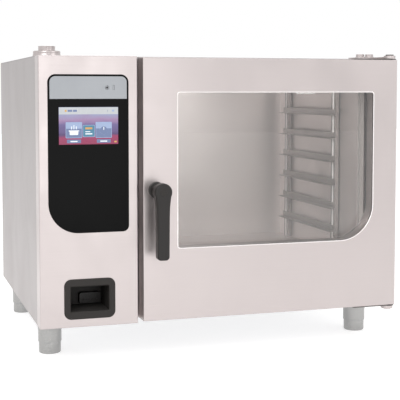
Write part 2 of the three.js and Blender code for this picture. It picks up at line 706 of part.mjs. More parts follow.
/** The trigger in the head's pocket, with room below it for its travel. */
function showerTrigger() {
  const under = SHOWER_TOP - TRIGGER.sink + TRIGGER.travel + TOUCH;
  return block(TRIGGER_X, TRIGGER_Y, [under, under + TRIGGER.height]);
}

function showerHose() {
  return rod('y', [HOSE_X, 0, HOSE_Z], HOSE_R, [SHOWER_Y + SHOWER_L + TOUCH, REEL_Y], 12);
}

/** The reel that winds the hose up: two flanges and a core that turn on an axle. */
function hoseReel() {
  const profile = [
    [AXLE_R + PIN_FIT, -REEL_HALF],
    [REEL_RIM_R, -REEL_HALF],
    [REEL_RIM_R, -REEL_HALF + REEL_FLANGE],
    [REEL_CORE_R, -REEL_HALF + REEL_FLANGE],
    [REEL_CORE_R, REEL_HALF - REEL_FLANGE],
    [REEL_RIM_R, REEL_HALF - REEL_FLANGE],
    [REEL_RIM_R, REEL_HALF],
    [AXLE_R + PIN_FIT, REEL_HALF],
    [AXLE_R + PIN_FIT, -REEL_HALF],
  ];
  return turned(profile, 'x', [HOSE_X, REEL_Y, REEL_Z], 22);
}

/** The bracket that holds the reel up from the base tray, with its axle. */
function reelBracket() {
  const foot = BASE_Z + BASE_SHEET + TOUCH;
  const { thick, half, over } = REEL_CHEEK;
  const y = [REEL_Y - half, REEL_Y + half];
  const left = HOSE_X - REEL_HALF - REEL_GAP - thick;
  const right = HOSE_X + REEL_HALF + REEL_GAP;
  return join(
    ...[left, right].map((x) => block([x, x + thick], y, [foot, REEL_Z + over])),
    block([left, right + thick], y, [foot, foot + thick]),
    rod('x', [0, REEL_Y, REEL_Z], AXLE_R, [left + SUNK, right + thick - SUNK]),
  );
}

// ---------------------------------------------------------------- door
// The door's pieces are drawn from its own lower left front corner.
const WINDOW_X = [WINDOW_LEFT, DOOR_W - WINDOW_RIGHT];
const WINDOW_Z = [WINDOW_BOTTOM - DOOR_LIFT, BODY_H - WINDOW_TOP - DOOR_LIFT];
const windowOutline = (grow = 0) =>
  roundedRect(grown(WINDOW_X, grow), grown(WINDOW_Z, grow), [
    WINDOW_CORNER + Math.max(grow, SHEET - WINDOW_CORNER),
    WINDOW_SWEEP + grow,
    WINDOW_CORNER + Math.max(grow, SHEET - WINDOW_CORNER),
    WINDOW_CORNER + Math.max(grow, SHEET - WINDOW_CORNER),
  ]);
const HINGE = [DOOR_W - HINGE_IN, HINGE_IN];
const AXIS_X = HANDLE_IN;
const AXIS_Z = HANDLE_Z - DOOR_LIFT;
const SPINDLE_HOLE = SPINDLE_R + SPINDLE_FIT;

/** The door's outer shell: a front sheet with the window cut out and four sides folded back. */
function doorShell() {
  const through = grown([0, SHEET], OVER);
  const outer = block([0, DOOR_W], [0, DOOR_T], [0, DOOR_H]);
  const hollow = block([SHEET, DOOR_W - SHEET], [SHEET, DOOR_T + OVER], [SHEET, DOOR_H - SHEET]);
  const boss = LEAF_BOSS_R + BOSS_FIT;
  return cut(
    outer,
    hollow,
    extrude(windowOutline(), 'xz', through),
    rod('y', [AXIS_X, 0, AXIS_Z], SPINDLE_HOLE, through),
    rod('z', [...HINGE, 0], boss, grown([0, SHEET], OVER)),
    rod('z', [...HINGE, 0], boss, grown([DOOR_H - SHEET, DOOR_H], OVER)),
  );
}

const REVEAL_Y = [SHEET + GLASS_T + 2 * TOUCH, DOOR_T - SHEET];

/** The door's inner panel: a sheet, a deep collar round the window and two clips for its glass. */
function doorInnerPanel() {
  const rear = [DOOR_T - SHEET, DOOR_T];
  const edge = SHEET + TOUCH;
  const sheet = block([edge, DOOR_W - edge], rear, [edge, DOOR_H - edge]);
  const collar = extrude(windowOutline(SHEET), 'xz', [REVEAL_Y[0], DOOR_T]);
  const clipX = [WINDOW_X[0] - CLIP.beside, WINDOW_X[0] + CLIP.over];
  const clips = grown(WINDOW_Z, -CLIP.in).map((z) =>
    block(clipX, [DOOR_T - SUNK, DOOR_T + CLIP.proud], grown([z, z], CLIP.height / 2)),
  );
  const panel = cut(
    join(sheet, collar),
    extrude(windowOutline(), 'xz', grown([0, DOOR_T], OVER)),
    rod('y', [AXIS_X, 0, AXIS_Z], SPINDLE_HOLE, grown(rear, OVER)),
  );
  return join(panel, ...clips);
}

function doorGlassOuter() {
  const faces = [SHEET + TOUCH, SHEET + TOUCH + GLASS_T];
  return extrude(windowOutline(GLASS_LAP), 'xz', faces);
}

function doorGlassInner() {
  const back = DOOR_T - INNER_GLASS_BACK;
  return extrude(windowOutline(-GLASS_FIT), 'xz', [back - GLASS_T, back]);
}

/** The box inside the door that guides the handle's spindle. */
function latchHousing() {
  const y = [SHEET + TOUCH, DOOR_T - SHEET - TOUCH];
  return cut(
    block(
      grown([AXIS_X, AXIS_X], LATCH_BOX.width / 2),
      y,
      grown([AXIS_Z, AXIS_Z], LATCH_BOX.height / 2),
    ),
    rod('y', [AXIS_X, 0, AXIS_Z], SPINDLE_HOLE, grown([0, DOOR_T], OVER)),
  );
}

/** The trough along the door's inner foot that catches condensate. */
function dripChannel() {
  const y = DOOR_T + TOUCH;
  const z = CHAMBER_BOTTOM - DOOR_LIFT - DRIP_DOWN;
  const section = [[0, 0], [8, 4], [8, 22], [6.6, 22], [6.6, 5], [1.4, 2.4], [1.4, 22], [0, 22]];
  const outline = polygon(section.map(([across, up]) => [y + across, z + up]));
  return extrude(outline, 'yz', [WINDOW_X[0] - DRIP_LEFT, WINDOW_X[1]]);
}

/** A hinge leaf on the door: a plate outside its edge and a boss that enters it and takes the pin. */
function hingeLeaf(edgeZ, up) {
  const away = (from, to) => (up > 0 ? [edgeZ + from, edgeZ + to] : [edgeZ - to, edgeZ - from]);
  const [x, y] = HINGE;
  const plate = block(
    [DOOR_W - LEAF_L, DOOR_W - LEAF_EDGE],
    [LEAF_FRONT, 2 * HINGE_IN - LEAF_FRONT],
    away(TOUCH, TOUCH + LEAF_T),
  );
  const boss = rod('z', [x, y, 0], LEAF_BOSS_R, away(-LEAF_BOSS_L, TOUCH + SUNK));
  const bore = rod('z', [x, y, 0], PIN_R + PIN_FIT, away(-LEAF_BOSS_L - OVER, LEAF_T + OVER));
  return cut(join(plate, boss), bore);
}

// ---------------------------------------------------------------- door handle
/** The round plate between door and lever. */
function rosette() {
  return cut(
    rod('y', [AXIS_X, 0, AXIS_Z], ROSETTE_R, [-ROSETTE_T, -TOUCH], 32),
    rod('y', [AXIS_X, 0, AXIS_Z], SPINDLE_HOLE, [-ROSETTE_T - OVER, OVER]),
  );
}

const LEVER_FRONT = -HANDLE_OUT + CAP_PROUD;
const LEVER_BACK = LEVER_FRONT + LEVER_T;

/** The lever's outline: a round head that narrows to a straight grip. */
function leverOutline() {
  const half = LEVER_W / 2 - LEVER_EDGE;
  const head = LEVER_HEAD_R - LEVER_EDGE;
  const foot = AXIS_Z - LEVER_DOWN + LEVER_EDGE;
  const shoulder = AXIS_Z - LEVER_HEAD_R - LEVER_NECK_DOWN;
  const outline = new THREE.Shape();
  outline.moveTo(AXIS_X - half, foot + LEVER_TOE.up);
  outline.lineTo(AXIS_X - half + LEVER_TOE.across, foot);
  outline.lineTo(AXIS_X + half - LEVER_TOE.across, foot);
  outline.lineTo(AXIS_X + half, foot + LEVER_TOE.up);
  outline.lineTo(AXIS_X + half, shoulder);
  outline.absarc(AXIS_X, AXIS_Z, head, -LEVER_HEAD_CUT, Math.PI + LEVER_HEAD_CUT);
  outline.lineTo(AXIS_X - half, shoulder);
  outline.closePath();
  return outline;
}

/** The lever: a bevelled bar on a round neck, hollowed for the spindle and the cap. */
function lever() {
  const bar = extrude(leverOutline(), 'xz', [LEVER_FRONT + LEVER_EDGE, LEVER_BACK - LEVER_EDGE], {
    bevelEnabled: true,
    bevelThickness: LEVER_EDGE,
    bevelSize: LEVER_EDGE,
    bevelSegments: 1,
    curveSegments: 10,
  });
  const neck = rod('y', [AXIS_X, 0, AXIS_Z], NECK_R, [LEVER_BACK - SUNK, -ROSETTE_T - TOUCH], 24);
  return cut(
    join(bar, neck),
    rod('y', [AXIS_X, 0, AXIS_Z], SPINDLE_R + TOUCH, [LEVER_BACK - SPINDLE_SINK, OVER]),
    rod('y', [AXIS_X, 0, AXIS_Z], CAP_R + TOUCH, [LEVER_FRONT - OVER, LEVER_FRONT + CAP_SINK]),
  );
}

function handleCap() {
  return rod('y', [AXIS_X, 0, AXIS_Z], CAP_R, [-HANDLE_OUT, LEVER_FRONT + CAP_SINK - TOUCH], 24);
}

function spindle() {
  const y = [LEVER_BACK - SPINDLE_SINK + TOUCH, DOOR_T + CAM.gap + SUNK];
  return rod('y', [AXIS_X, 0, AXIS_Z], SPINDLE_R, y, 16);
}

/** The cam on the spindle's inner end. */
function latchCam() {
  const y = [DOOR_T + CAM.gap, DOOR_T + CAM.gap + CAM.thick];
  const z = [AXIS_Z, AXIS_Z + CAM.reach];
  return join(
    rod('y', [AXIS_X, 0, AXIS_Z], CAM.hub, y),
    block([AXIS_X - CAM.width / 2, AXIS_X + CAM.width / 2], y, z),
  );
}

// ---------------------------------------------------------------- what holds the door on the casing
/** A bracket outside the casing, over or under the door, whose arm carries the hinge pin. */
function hingeBracket(faceZ, up) {
  const away = (from, to) => (up > 0 ? [faceZ + from, faceZ + to] : [faceZ - to, faceZ - from]);
  const x = BODY_W - HINGE_IN;
  const thick = away(TOUCH, TOUCH + HINGE_PLATE);
  const plate = join(
    block([x - BRACKET.left, x + BRACKET.right], [PANEL_Y + BRACKET.front, PANEL_Y + HINGE_REACH], thick),
    block([x - HINGE_BOSS_R, BODY_W], [HINGE_IN, PANEL_Y + BRACKET.front + SUNK], thick),
    rod('z', [x, HINGE_IN, 0], HINGE_BOSS_R, away(TOUCH, TOUCH + HINGE_PLATE + BRACKET.boss), 24),
  );
  const bore = rod('z', [x, HINGE_IN, 0], PIN_R + TOUCH, away(-OVER, HINGE_PLATE + BRACKET.boss + OVER));
  return up > 0 ? cut(plate, bore) : plate;
}

/** A hinge pin with a flat head outside its bracket. */
function hingePin(faceZ, up) {
  const under = TOUCH + HINGE_PLATE + BRACKET.boss + (up > 0 ? TOUCH : -SUNK);
  const away = (from, to) => (up > 0 ? [faceZ + from, faceZ + to] : [faceZ - to, faceZ - from]);
  const place = [BODY_W - HINGE_IN, HINGE_IN, 0];
  return join(
    rod('z', place, PIN_R, away(-LEAF_BOSS_L, under + SUNK), 20),
    rod('z', place, PIN_HEAD_R, away(under, under + PIN_HEAD_H), 20),
  );
}

/** Two hexagon heads on the bracket over the door, each on its washer. */
function hingeBolts() {
  const top = BODY_H + TOUCH + HINGE_PLATE;
  return BOLT_INS.flatMap((inset) => {
    const place = [BODY_W - HINGE_IN - inset, PANEL_Y + BOLT_BACK, top];
    return [
      rod('z', place, WASHER.r, [-SUNK, WASHER.top], 20),
      rod('z', place, BOLT_HEAD.r, [WASHER.top - SUNK, BOLT_HEAD.top], 6),
    ];
  });
}

/** The seal in the front frame, round the chamber's mouth. */
function gasket() {
  const faces = [DOOR_T + TOUCH, FRAME_Y - TOUCH];
  return cut(
    extrude(mouthOutline(GASKET_IN + GASKET_W), 'xz', faces),
    extrude(mouthOutline(GASKET_IN), 'xz', grown(faces, OVER)),
  );
}

/** The catch on the front frame, above the cam's reach. */
function doorCatch() {
  const x = DOOR_X + AXIS_X;
  const z = HANDLE_Z + CAM.reach + CATCH.clear;
  return block(
    [x - CATCH.left, x + CATCH.right],
    [DOOR_T + CAM.gap + TOUCH, FRAME_Y - TOUCH],
    [z, z + CATCH.height],
  );
}

// ---------------------------------------------------------------- cooking chamber
const LINER_X = [LINER_LEFT, CHAMBER_RIGHT];
const LINER_Z = [CHAMBER_BOTTOM, CHAMBER_TOP];
const RACK_SPAN = [BAFFLE_X + RACK_BAFFLE_GAP, CHAMBER_RIGHT - RACK_WALL_GAP];
const POST_YS = [FRAME_Y + POST_FRONT, FRAME_Y + POST_FRONT + POST_SPACING];
const RACK_POST_X = [RACK_SPAN[0] + POST_X / 2, RACK_SPAN[1] - POST_X / 2];
const SHAFT_HOLE = SHAFT_R + SHAFT_ROOM;
const INJECTOR = [FAN_AXIS_Y + INJECTOR_BACK, FAN_AXIS_Z + INJECTOR_UP];
const HEATER_ENDS = [HEATER_R, -HEATER_R].map((z) => [FAN_AXIS_Y, FAN_AXIS_Z + z]);

/** Everything that passes through the chamber's left wall, as bars to cut with. */
function leftWallPassages(fit) {
  const x = [LINER_LEFT - INSULATION - OVER, LINER_LEFT + OVER];
  return [
    rod('x', [0, FAN_AXIS_Y, FAN_AXIS_Z], SHAFT_HOLE + fit, x),
    rod('x', [0, ...INJECTOR], INJECTOR_R + PIPE_FIT, x, 12),
    ...HEATER_ENDS.map((end) => rod('x', [0, ...end], HEATER_TUBE + PIPE_FIT, x, 12)),
  ];
}

/** The chamber's lining: a rounded box open to the door, with studs for the racks. */
function chamberLiner() {
  const back = LINER_BACK + SHEET;
  const outline = (by) => roundedRect(grown(LINER_X, by), grown(LINER_Z, by), CHAMBER_CORNER + by);
  const shell = cut(
    extrude(outline(SHEET), 'xz', [LINER_Y, back]),
    extrude(outline(0), 'xz', [LINER_Y + SHEET, LINER_BACK]),
    extrude(mouthOutline(0), 'xz', grown([LINER_Y, LINER_Y + SHEET], OVER)),
    rod('z', [...DRAIN, 0], DRAIN_R, grown([CHAMBER_BOTTOM - SHEET, CHAMBER_BOTTOM], OVER)),
    ...leftWallPassages(0),
  );
  const studs = RACK_POST_X.flatMap((x) =>
    POST_YS.map((y) => rod('z', [x, y, CHAMBER_BOTTOM], STUD_R, [-SHEET / 2, STUD_H], 10)),
  );
  return join(shell, ...studs);
}

/** A bar along the drain's way, down from the chamber's floor and out at the back. */
function drainRun(radius, spare) {
  const [x, y] = DRAIN;
  const path = [
    [x, y, CHAMBER_BOTTOM - SHEET - TOUCH + spare],
    [x, y, DRAIN_RUN_Z + DRAIN_BEND],
    [x, y + DRAIN_BEND_MID, DRAIN_RUN_Z + DRAIN_BEND_MID],
    [x, y + DRAIN_BEND, DRAIN_RUN_Z],
    [x, BODY_D + REAR_OUT + spare, DRAIN_RUN_Z],
  ];
  return swept(path, radius, 12, 10);
}

/** The insulation round the lining, open to the front. */
function insulation() {
  const gap = SHEET + TOUCH;
  const front = LINER_Y + LINER_LIP;
  const back = LINER_BACK + gap + INSULATION;
  return cut(
    block(grown(LINER_X, gap + INSULATION), [front, back], grown(LINER_Z, gap + INSULATION)),
    extrude(roundedRect(grown(LINER_X, gap), grown(LINER_Z, gap), CHAMBER_CORNER + gap), 'xz', [
      front - OVER,
      LINER_BACK + gap,
    ]),
    rod('z', [...DRAIN, 0], DRAIN_R + WOOL_FIT, grown([CHAMBER_BOTTOM - INSULATION, CHAMBER_BOTTOM], OVER)),
    drainRun(DRAIN_R + WOOL_FIT, 0),
    recessCup(WOOL_FIT),
    ...leftWallPassages(WOOL_FIT),
  );
}

/** A hang-in rack: two posts with sockets at their feet, and a rail for each level. */
function rack(side) {
  const wall = side > 0 ? RACK_SPAN[1] : RACK_SPAN[0];
  const across = (from, to) => (side > 0 ? [wall - to, wall - from] : [wall + from, wall + to]);
  const foot = CHAMBER_BOTTOM + RACK_FLOOR_GAP;
  const top = CHAMBER_TOP - RACK_TOP_GAP;
  const levels = Math.floor((CHAMBER_H - FIRST_RAIL - TOP_ROOM) / RAIL_PITCH) + 1;
  const postX = side > 0 ? RACK_POST_X[1] : RACK_POST_X[0];
  const posts = POST_YS.map((y) =>
    cut(
      block(across(0, POST_X), [y - POST_Y / 2, y + POST_Y / 2], [foot, top]),
      rod('z', [postX, y, foot], STUD_R + STUD_FIT, [-OVER, STUD_H + STUD_ROOM], 10),
    ),
  );
  const run = grown(POST_YS, POST_Y / 2 + RAIL_OVERHANG);
  const rails = Array.from({ length: levels }, (_, level) => {
    const low = CHAMBER_BOTTOM + FIRST_RAIL + level * RAIL_PITCH - RAIL_H / 2;
    const web = block(across(POST_X - SUNK, POST_X + RAIL_T), run, [low, low + RAIL_H]);
    const ledge = block(across(POST_X, POST_X + RAIL_T + LEDGE_W), run, [low, low + RAIL_T]);
    return join(web, ledge);
  });
  return join(...posts, ...rails);
}

/** The baffle between fan and food: a sheet with an intake grille, on four stays. */
function fanBaffle() {
  const faces = [BAFFLE_X - SHEET, BAFFLE_X];
  const y = grown([LINER_Y, LINER_BACK], -BAFFLE_SIDE);
  const z = grown(LINER_Z, -BAFFLE_EDGE);
  const through = grown(faces, OVER);
  const holes = INTAKE_RINGS.flatMap(([radius, count]) =>
    Array.from({ length: count }, (_, i) => {
      const angle = (i / count) * Math.PI * 2;
      const place = [0, FAN_AXIS_Y + radius * Math.cos(angle), FAN_AXIS_Z + radius * Math.sin(angle)];
      return rod('x', place, INTAKE_HOLE_R, through, 6);
    }),
  );
  const stayX = [LINER_LEFT + TOUCH, BAFFLE_X - STAY.sunk];
  const stays = grown(y, -STAY.in).flatMap((stayY) =>
    grown(z, -STAY.in).map((stayZ) => rod('x', [0, stayY, stayZ], STAY.r, stayX, 8)),
  );
  return join(cut(block(faces, y, z), ...holes), ...stays);
}

const WHEEL_BACK = BAFFLE_X - WHEEL_GAP - FAN_W;

/** The fan wheel: a back plate with a hub and straight blades. */
function fanWheel() {
  const axis = [0, FAN_AXIS_Y, FAN_AXIS_Z];
  const hubX = [WHEEL_BACK - HUB.back, WHEEL_BACK + HUB.front];
  const plate = rod('x', axis, FAN_R, [WHEEL_BACK, WHEEL_BACK + WHEEL_PLATE], 24);
  const hub = rod('x', axis, HUB.r, hubX);
  const blades = Array.from({ length: FAN_BLADES }, (_, i) => {
    const geometry = new THREE.BoxGeometry(FAN_W, BLADE_L, WHEEL_PLATE);
    geometry.translate(FAN_W / 2, FAN_R - SUNK - BLADE_L / 2, 0);
    geometry.rotateX((i / FAN_BLADES) * Math.PI * 2);
    geometry.translate(WHEEL_BACK, FAN_AXIS_Y, FAN_AXIS_Z);
    return solid(geometry);
  });
  const bore = rod('x', axis, SHAFT_R + TOUCH, grown(hubX, OVER));
  return cut(join(plate, hub, ...blades), bore);
}

const MOTOR_FACE = LINER_LEFT - INSULATION - MOTOR_GAP;
const MOTOR_X = [MOTOR_FACE - MOTOR_L, MOTOR_FACE];

function fanShaft() {
  const x = [MOTOR_FACE - SHAFT_IN, WHEEL_BACK + HUB.front - SHAFT_SHORT];
  return rod('x', [0, FAN_AXIS_Y, FAN_AXIS_Z], SHAFT_R, x);
}

/** The fan's motor: a can with a square flange, bored for the shaft. */
function fanMotor() {
  const axis = [0, FAN_AXIS_Y, FAN_AXIS_Z];
  const reach = MOTOR_R + MOTOR_FLANGE.over;
  const flange = block(
    [MOTOR_FACE - MOTOR_FLANGE.thick, MOTOR_FACE],
    grown([FAN_AXIS_Y, FAN_AXIS_Y], reach),
    grown([FAN_AXIS_Z, FAN_AXIS_Z], reach),
  );
  return cut(
    join(rod('x', axis, MOTOR_R, MOTOR_X, 28), flange),
    rod('x', axis, SHAFT_R + PIN_FIT, [MOTOR_FACE - SHAFT_IN - TOUCH, MOTOR_FACE + OVER]),
  );
}

/** The ring heater: two hoops round the fan wheel, joined by the bars that lead out to its terminals. */
function ringHeater() {
  const hoops = HEATER_HOOPS.map((along) => {
    const geometry = new THREE.TorusGeometry(HEATER_R, HEATER_TUBE, 5, 24);
    geometry.rotateY(Math.PI / 2);
    geometry.translate(WHEEL_BACK + along, FAN_AXIS_Y, FAN_AXIS_Z);
    return solid(geometry);
  });
  const barX = [LINER_LEFT - INSULATION - HEATER_TAIL, WHEEL_BACK + Math.max(...HEATER_HOOPS)];
  const bars = HEATER_ENDS.map((end) =>
    rod('x', [0, ...end], HEATER_TUBE - HEATER_BAR_LESS, barX, 10),
  );
  return join(...hoops, ...bars);
}

/** The valve that lets water into the chamber: a body, its coil and the pipe through the wall. */
function injectionValve() {
  const [y, z] = INJECTOR;
  return join(
    rod('x', [0, ...INJECTOR], INJECTOR_R, [VALVE_X[1] - SUNK, LINER_LEFT + INJECTOR_SPOUT], 12),
    block(VALVE_X, grown([y, y], VALVE_HALF), grown([z, z], VALVE_HALF)),
    rod('z', [(VALVE_X[0] + VALVE_X[1]) / 2, y, z], COIL.r, [COIL.from, COIL.to], 16),
  );
}

/** The strainer in the chamber's floor. */
function drainStrainer() {
  const face = CHAMBER_BOTTOM + TOUCH;
  const { rim, plate, plug, deep, ring, hole, holes } = STRAINER;
  const drilled = Array.from({ length: holes }, (_, i) => {
    const angle = (i / holes) * Math.PI * 2;
    const place = [DRAIN[0] + ring * Math.cos(angle), DRAIN[1] + ring * Math.sin(angle), face];
    return rod('z', place, hole, grown([-deep, plate], OVER), 6);
  });
  return cut(
    join(
      rod('z', [...DRAIN, face], DRAIN_R + rim, [0, plate], 20),
      rod('z', [...DRAIN, face], DRAIN_R - plug, [-deep, SUNK], 20),
    ),
    ...drilled,
  );
}

/** The drain: down under the chamber, then back and out of the rear panel. */
function drainPipe() {
  return cut(drainRun(DRAIN_R, 0), drainRun(DRAIN_R - DRAIN_WALL, OVER));
}

// ---------------------------------------------------------------- left of the chamber and behind
/** A water inlet: a nipple through the rear panel with its nut. */
function waterInlet(x) {
  const axis = [x, 0, INLET_Z];
  return cut(
    join(
      rod('y', axis, INLET_R, [BODY_D - INLET_IN, BODY_D + REAR_OUT - INLET_SHORT], 18),
      rod('y', axis, INLET_R + NUT.over, [BODY_D + TOUCH, BODY_D + NUT.outside], 6),
      rod('y', axis, INLET_R + NUT.over, [BODY_D - NUT.inside, BODY_D - SHEET - TOUCH], 6),
    ),
    rod('y', axis, INLET_R - INLET_WALL, [BODY_D - OVER, BODY_D + REAR_OUT + OVER], 12),
  );
}

function cableGland() {
  const axis = [GLAND.x, 0, GLAND.z];
  const ends = [BODY_D - GLAND.inside, BODY_D + GLAND.nose];
  return cut(
    join(
      rod('y', axis, GLAND.r, [ends[0], BODY_D + GLAND.outside], 20),
      rod('y', axis, GLAND.r + GLAND.hex, [BODY_D + TOUCH, BODY_D + GLAND.outside], 6),
      rod('y', axis, GLAND.r - SUNK, [BODY_D + GLAND.outside - SUNK, ends[1]], 20),
    ),
    rod('y', axis, GLAND.r - GLAND.wall, grown(ends, OVER), 16),
  );
}

/** The plate on the left side with contactors and relays on it. */
function powerBoard() {
  const x = [POWER_PLATE.left, POWER_PLATE.left + POWER_PLATE.thick];
  const y = [FRAME_Y + POWER_PLATE.front, FRAME_Y + POWER_PLATE.back];
  const z = [BASE_Z + POWER_PLATE.up, BODY_H - POWER_PLATE.down];
  const parts = POWER_PARTS.map(([along, up]) =>
    block(
      [x[1] - SUNK, x[1] + POWER_PART.depth],
      grown([y[0] + along, y[0] + along], POWER_PART.along),
      grown([z[0] + up, z[0] + up], POWER_PART.up),
    ),
  );
  return join(block(x, y, z), ...parts);
}

const COOLER_Y = [BODY_D - SHEET - COOLER.deep, BODY_D - SHEET - TOUCH];

/** The frame of the fan that cools the electronics, against the rear panel's air slots. */
function coolingFanFrame() {
  const { half, ring, hub, spoke, grille } = COOLER;
  const axis = [AIR_X, 0, AIR_Z];
  const front = [COOLER_Y[0] - OVER, COOLER_Y[0] + grille + SUNK];
  const spokes = [[spoke, half + OVER], [half + OVER, spoke]].map(([wide, high]) =>
    block([AIR_X - wide, AIR_X + wide], grown(front, SUNK), [AIR_Z - high, AIR_Z + high]),
  );
  const grilleGaps = cut(
    rod('y', axis, half - ring, front, 28),
    rod('y', axis, hub, grown(front, SUNK), 16),
    ...spokes,
  );
  return cut(
    block([AIR_X - half, AIR_X + half], COOLER_Y, [AIR_Z - half, AIR_Z + half]),
    rod('y', axis, half - ring, [COOLER_Y[0] + grille, COOLER_Y[1] + OVER], 28),
    grilleGaps,
  );
}

/** The cooling fan's own wheel: a hub with slanted vanes. */
function coolingFanBlades() {
  const { hub, vanes: count, vane, thick, lean, out, back, front } = COOLER_WHEEL;
  const y = [COOLER_Y[0] + back, COOLER_Y[1] - front];
  const vanes = Array.from({ length: count }, (_, i) => {
    const geometry = new THREE.BoxGeometry(vane, (y[1] - y[0]) * lean, thick);
    geometry.rotateX(lean);
    geometry.translate(out, 0, 0);
    geometry.rotateY((i / count) * Math.PI * 2);
    geometry.translate(AIR_X, (y[0] + y[1]) / 2, AIR_Z);
    return solid(geometry);
  });
  return join(rod('y', [AIR_X, 0, AIR_Z], hub, y, 18), ...vanes);
}

// ---------------------------------------------------------------- roof
/** The flared collar round the vent pipe. */
function ventBase() {
  const profile = [
    [VENT_R + PIPE_FIT, 0],
    [VENT_BASE_R, 0],
    [VENT_BASE_R, 8],
    [VENT_BASE_TOP_R + 2, VENT_BASE_H - 6],
    [VENT_BASE_TOP_R, VENT_BASE_H],
    [VENT_R + PIPE_FIT, VENT_BASE_H],
    [VENT_R + PIPE_FIT, 0],
  ];
  return turned(profile, 'z', [VENT_X, VENT_Y, BODY_H + TOUCH], 32);
}

/** The vent pipe: out of the roof, and inside down into a bend toward the chamber. */
function ventPipe() {
  const run = (radius, spare) =>
    swept(
      [
        [VENT_X, VENT_Y, BODY_H + VENT_OUT + spare],
        [VENT_X, VENT_Y, DUCT_Z + VENT_BEND.above],
        [VENT_X + VENT_BEND.beside, VENT_Y, DUCT_Z + VENT_BEND.knee],
        [VENT_X + VENT_BEND.along, VENT_Y, DUCT_Z],
        [LINER_LEFT - INSULATION - DUCT_GAP + spare, VENT_Y, DUCT_Z],
      ],
      radius,
      16,
      8,
    );
  return cut(run(VENT_R, 0), run(VENT_R - VENT_WALL, 3));
}

// ---------------------------------------------------------------- feet
const STEM_TOP = -FOOT_SLEEVE_H + FOOT_STEM_H;

/** A foot's socket, welded under the base: a collar and a tube that guides the stem. */
function footSocket(x, y) {
  const bore = FOOT_STEM_R + FOOT_FIT;
  const profile = [
    [bore, -FOOT_SLEEVE_H],
    [FOOT_R, -FOOT_SLEEVE_H],
    [FOOT_R, -FOOT_COLLAR.low],
    [FOOT_COLLAR_R, -FOOT_COLLAR.high],
    [FOOT_COLLAR_R, BASE_Z + SUNK],
    [0, BASE_Z + SUNK],
    [0, STEM_TOP + FOOT_ROOM],
    [bore, STEM_TOP + FOOT_ROOM],
    [bore, -FOOT_SLEEVE_H],
  ];
  return turned(profile, 'z', [x, y, 0], 20);
}

/** A foot's moving half: the stem that screws out and the round pad it stands on. */
function footPad() {
  const pad = -FOOT_SLEEVE_H - TOUCH;
  const profile = [
    [0, -FOOT_H],
    [FOOT_R - PAD.under, -FOOT_H],
    [FOOT_R - PAD.side, -FOOT_H + PAD.edge],
    [FOOT_R - PAD.side, pad],
    [FOOT_STEM_R, pad],
    [FOOT_STEM_R, STEM_TOP],
    [0, STEM_TOP],
  ];
  return turned(profile, 'z', [0, 0, 0], 20);
}

// ---------------------------------------------------------------- the oven
const casing = [
  piece('base_frame', baseTray(), ZINC),
  piece('left_side_panel', sidePanel(0, 1), STEEL),
  piece('right_side_panel', sidePanel(BODY_W, -1), STEEL),
  piece('rear_panel', rearPanel(), STEEL),
  piece('top_cover', roof(), STEEL),
  piece('front_frame', frontFrame(), STEEL),
  piece('vent_base', ventBase(), STEEL),
  piece('vent_pipe', ventPipe(), STEEL),
  piece('door_gasket', gasket(), RUBBER),
  piece('door_catch', doorCatch(), STEEL),
  piece('hinge_top_bracket', join(hingeBracket(BODY_H, 1), ...hingeBolts()), STEEL),
  piece('hinge_top_pin', hingePin(BODY_H, 1), DARK_STEEL),
  piece('hinge_bottom_bracket', join(hingeBracket(0, -1), hingePin(0, -1)), STEEL),
];

const column = [
  piece('control_fascia', fascia(), STEEL),
  piece('control_panel', controlPanel(), BLACK_GLASS),
  piece('header_strip', headerStrip(), SILVER),
  piece('touch_display', touchDisplay(), SCREEN),
  piece('power_button', powerButton(), BLACK_GLASS),
  piece('status_light', statusLight(), SILVER),
  piece('control_board', controlBoard(), BOARD),
  piece('shower_recess', showerRecess(), GREY_PLASTIC),
  piece('shower_head', showerHead(), BLACK_PLASTIC),
  piece('shower_trigger', showerTrigger(), GREY_PLASTIC),
  piece('shower_hose', showerHose(), RUBBER),
  piece('hose_reel', hoseReel(), BLACK_PLASTIC),
  piece('reel_bracket', reelBracket(), ZINC),
];

const door = assembly(
  [DOOR_X, 0, DOOR_LIFT],
  piece('door_outer_shell', doorShell(), STEEL),
  piece('door_inner_panel', doorInnerPanel(), STEEL),
  piece('door_glass_outer', doorGlassOuter(), GLASS),
  piece('door_glass_inner', doorGlassInner(), GLASS),
  piece('latch_housing', latchHousing(), ZINC),
  piece('door_drip_channel', dripChannel(), STEEL),
  piece('hinge_top_leaf', hingeLeaf(DOOR_H, 1), DARK_STEEL),
  piece('hinge_bottom_leaf', hingeLeaf(0, -1), DARK_STEEL),
  piece('handle_rosette', rosette(), BLACK_PLASTIC),
  piece('door_handle', lever(), BLACK_PLASTIC),
  piece('handle_cap', handleCap(), GREY_PLASTIC),
  piece('handle_spindle', join(spindle(), latchCam()), ZINC),
);

const chamber = [
  piece('chamber_liner', chamberLiner(), LINER_STEEL),
  piece('insulation', insulation(), WOOL),
  piece('rack_left', rack(-1), LINER_STEEL),
  piece('rack_right', rack(1), LINER_STEEL),
  piece('fan_baffle', fanBaffle(), LINER_STEEL),
  piece('fan_wheel', fanWheel(), LINER_STEEL),
  piece('fan_shaft', fanShaft(), ZINC),
  piece('fan_motor', fanMotor(), ZINC),
  piece('ring_heater', ringHeater(), DARK_STEEL),
  piece('injection_valve', injectionValve(), BRASS),
  piece('drain_strainer', drainStrainer(), LINER_STEEL),
  piece('drain_pipe', drainPipe(), GREY_PLASTIC),
];

const services = [
  ...INLETS.map(([name, x]) => piece(name, waterInlet(x), BRASS)),
  piece('cable_gland', cableGland(), BLACK_PLASTIC),
  piece('power_board', powerBoard(), ZINC),
  piece('cooling_fan_frame', coolingFanFrame(), BLACK_PLASTIC),
  piece('cooling_fan_blades', coolingFanBlades(), BLACK_PLASTIC),
];

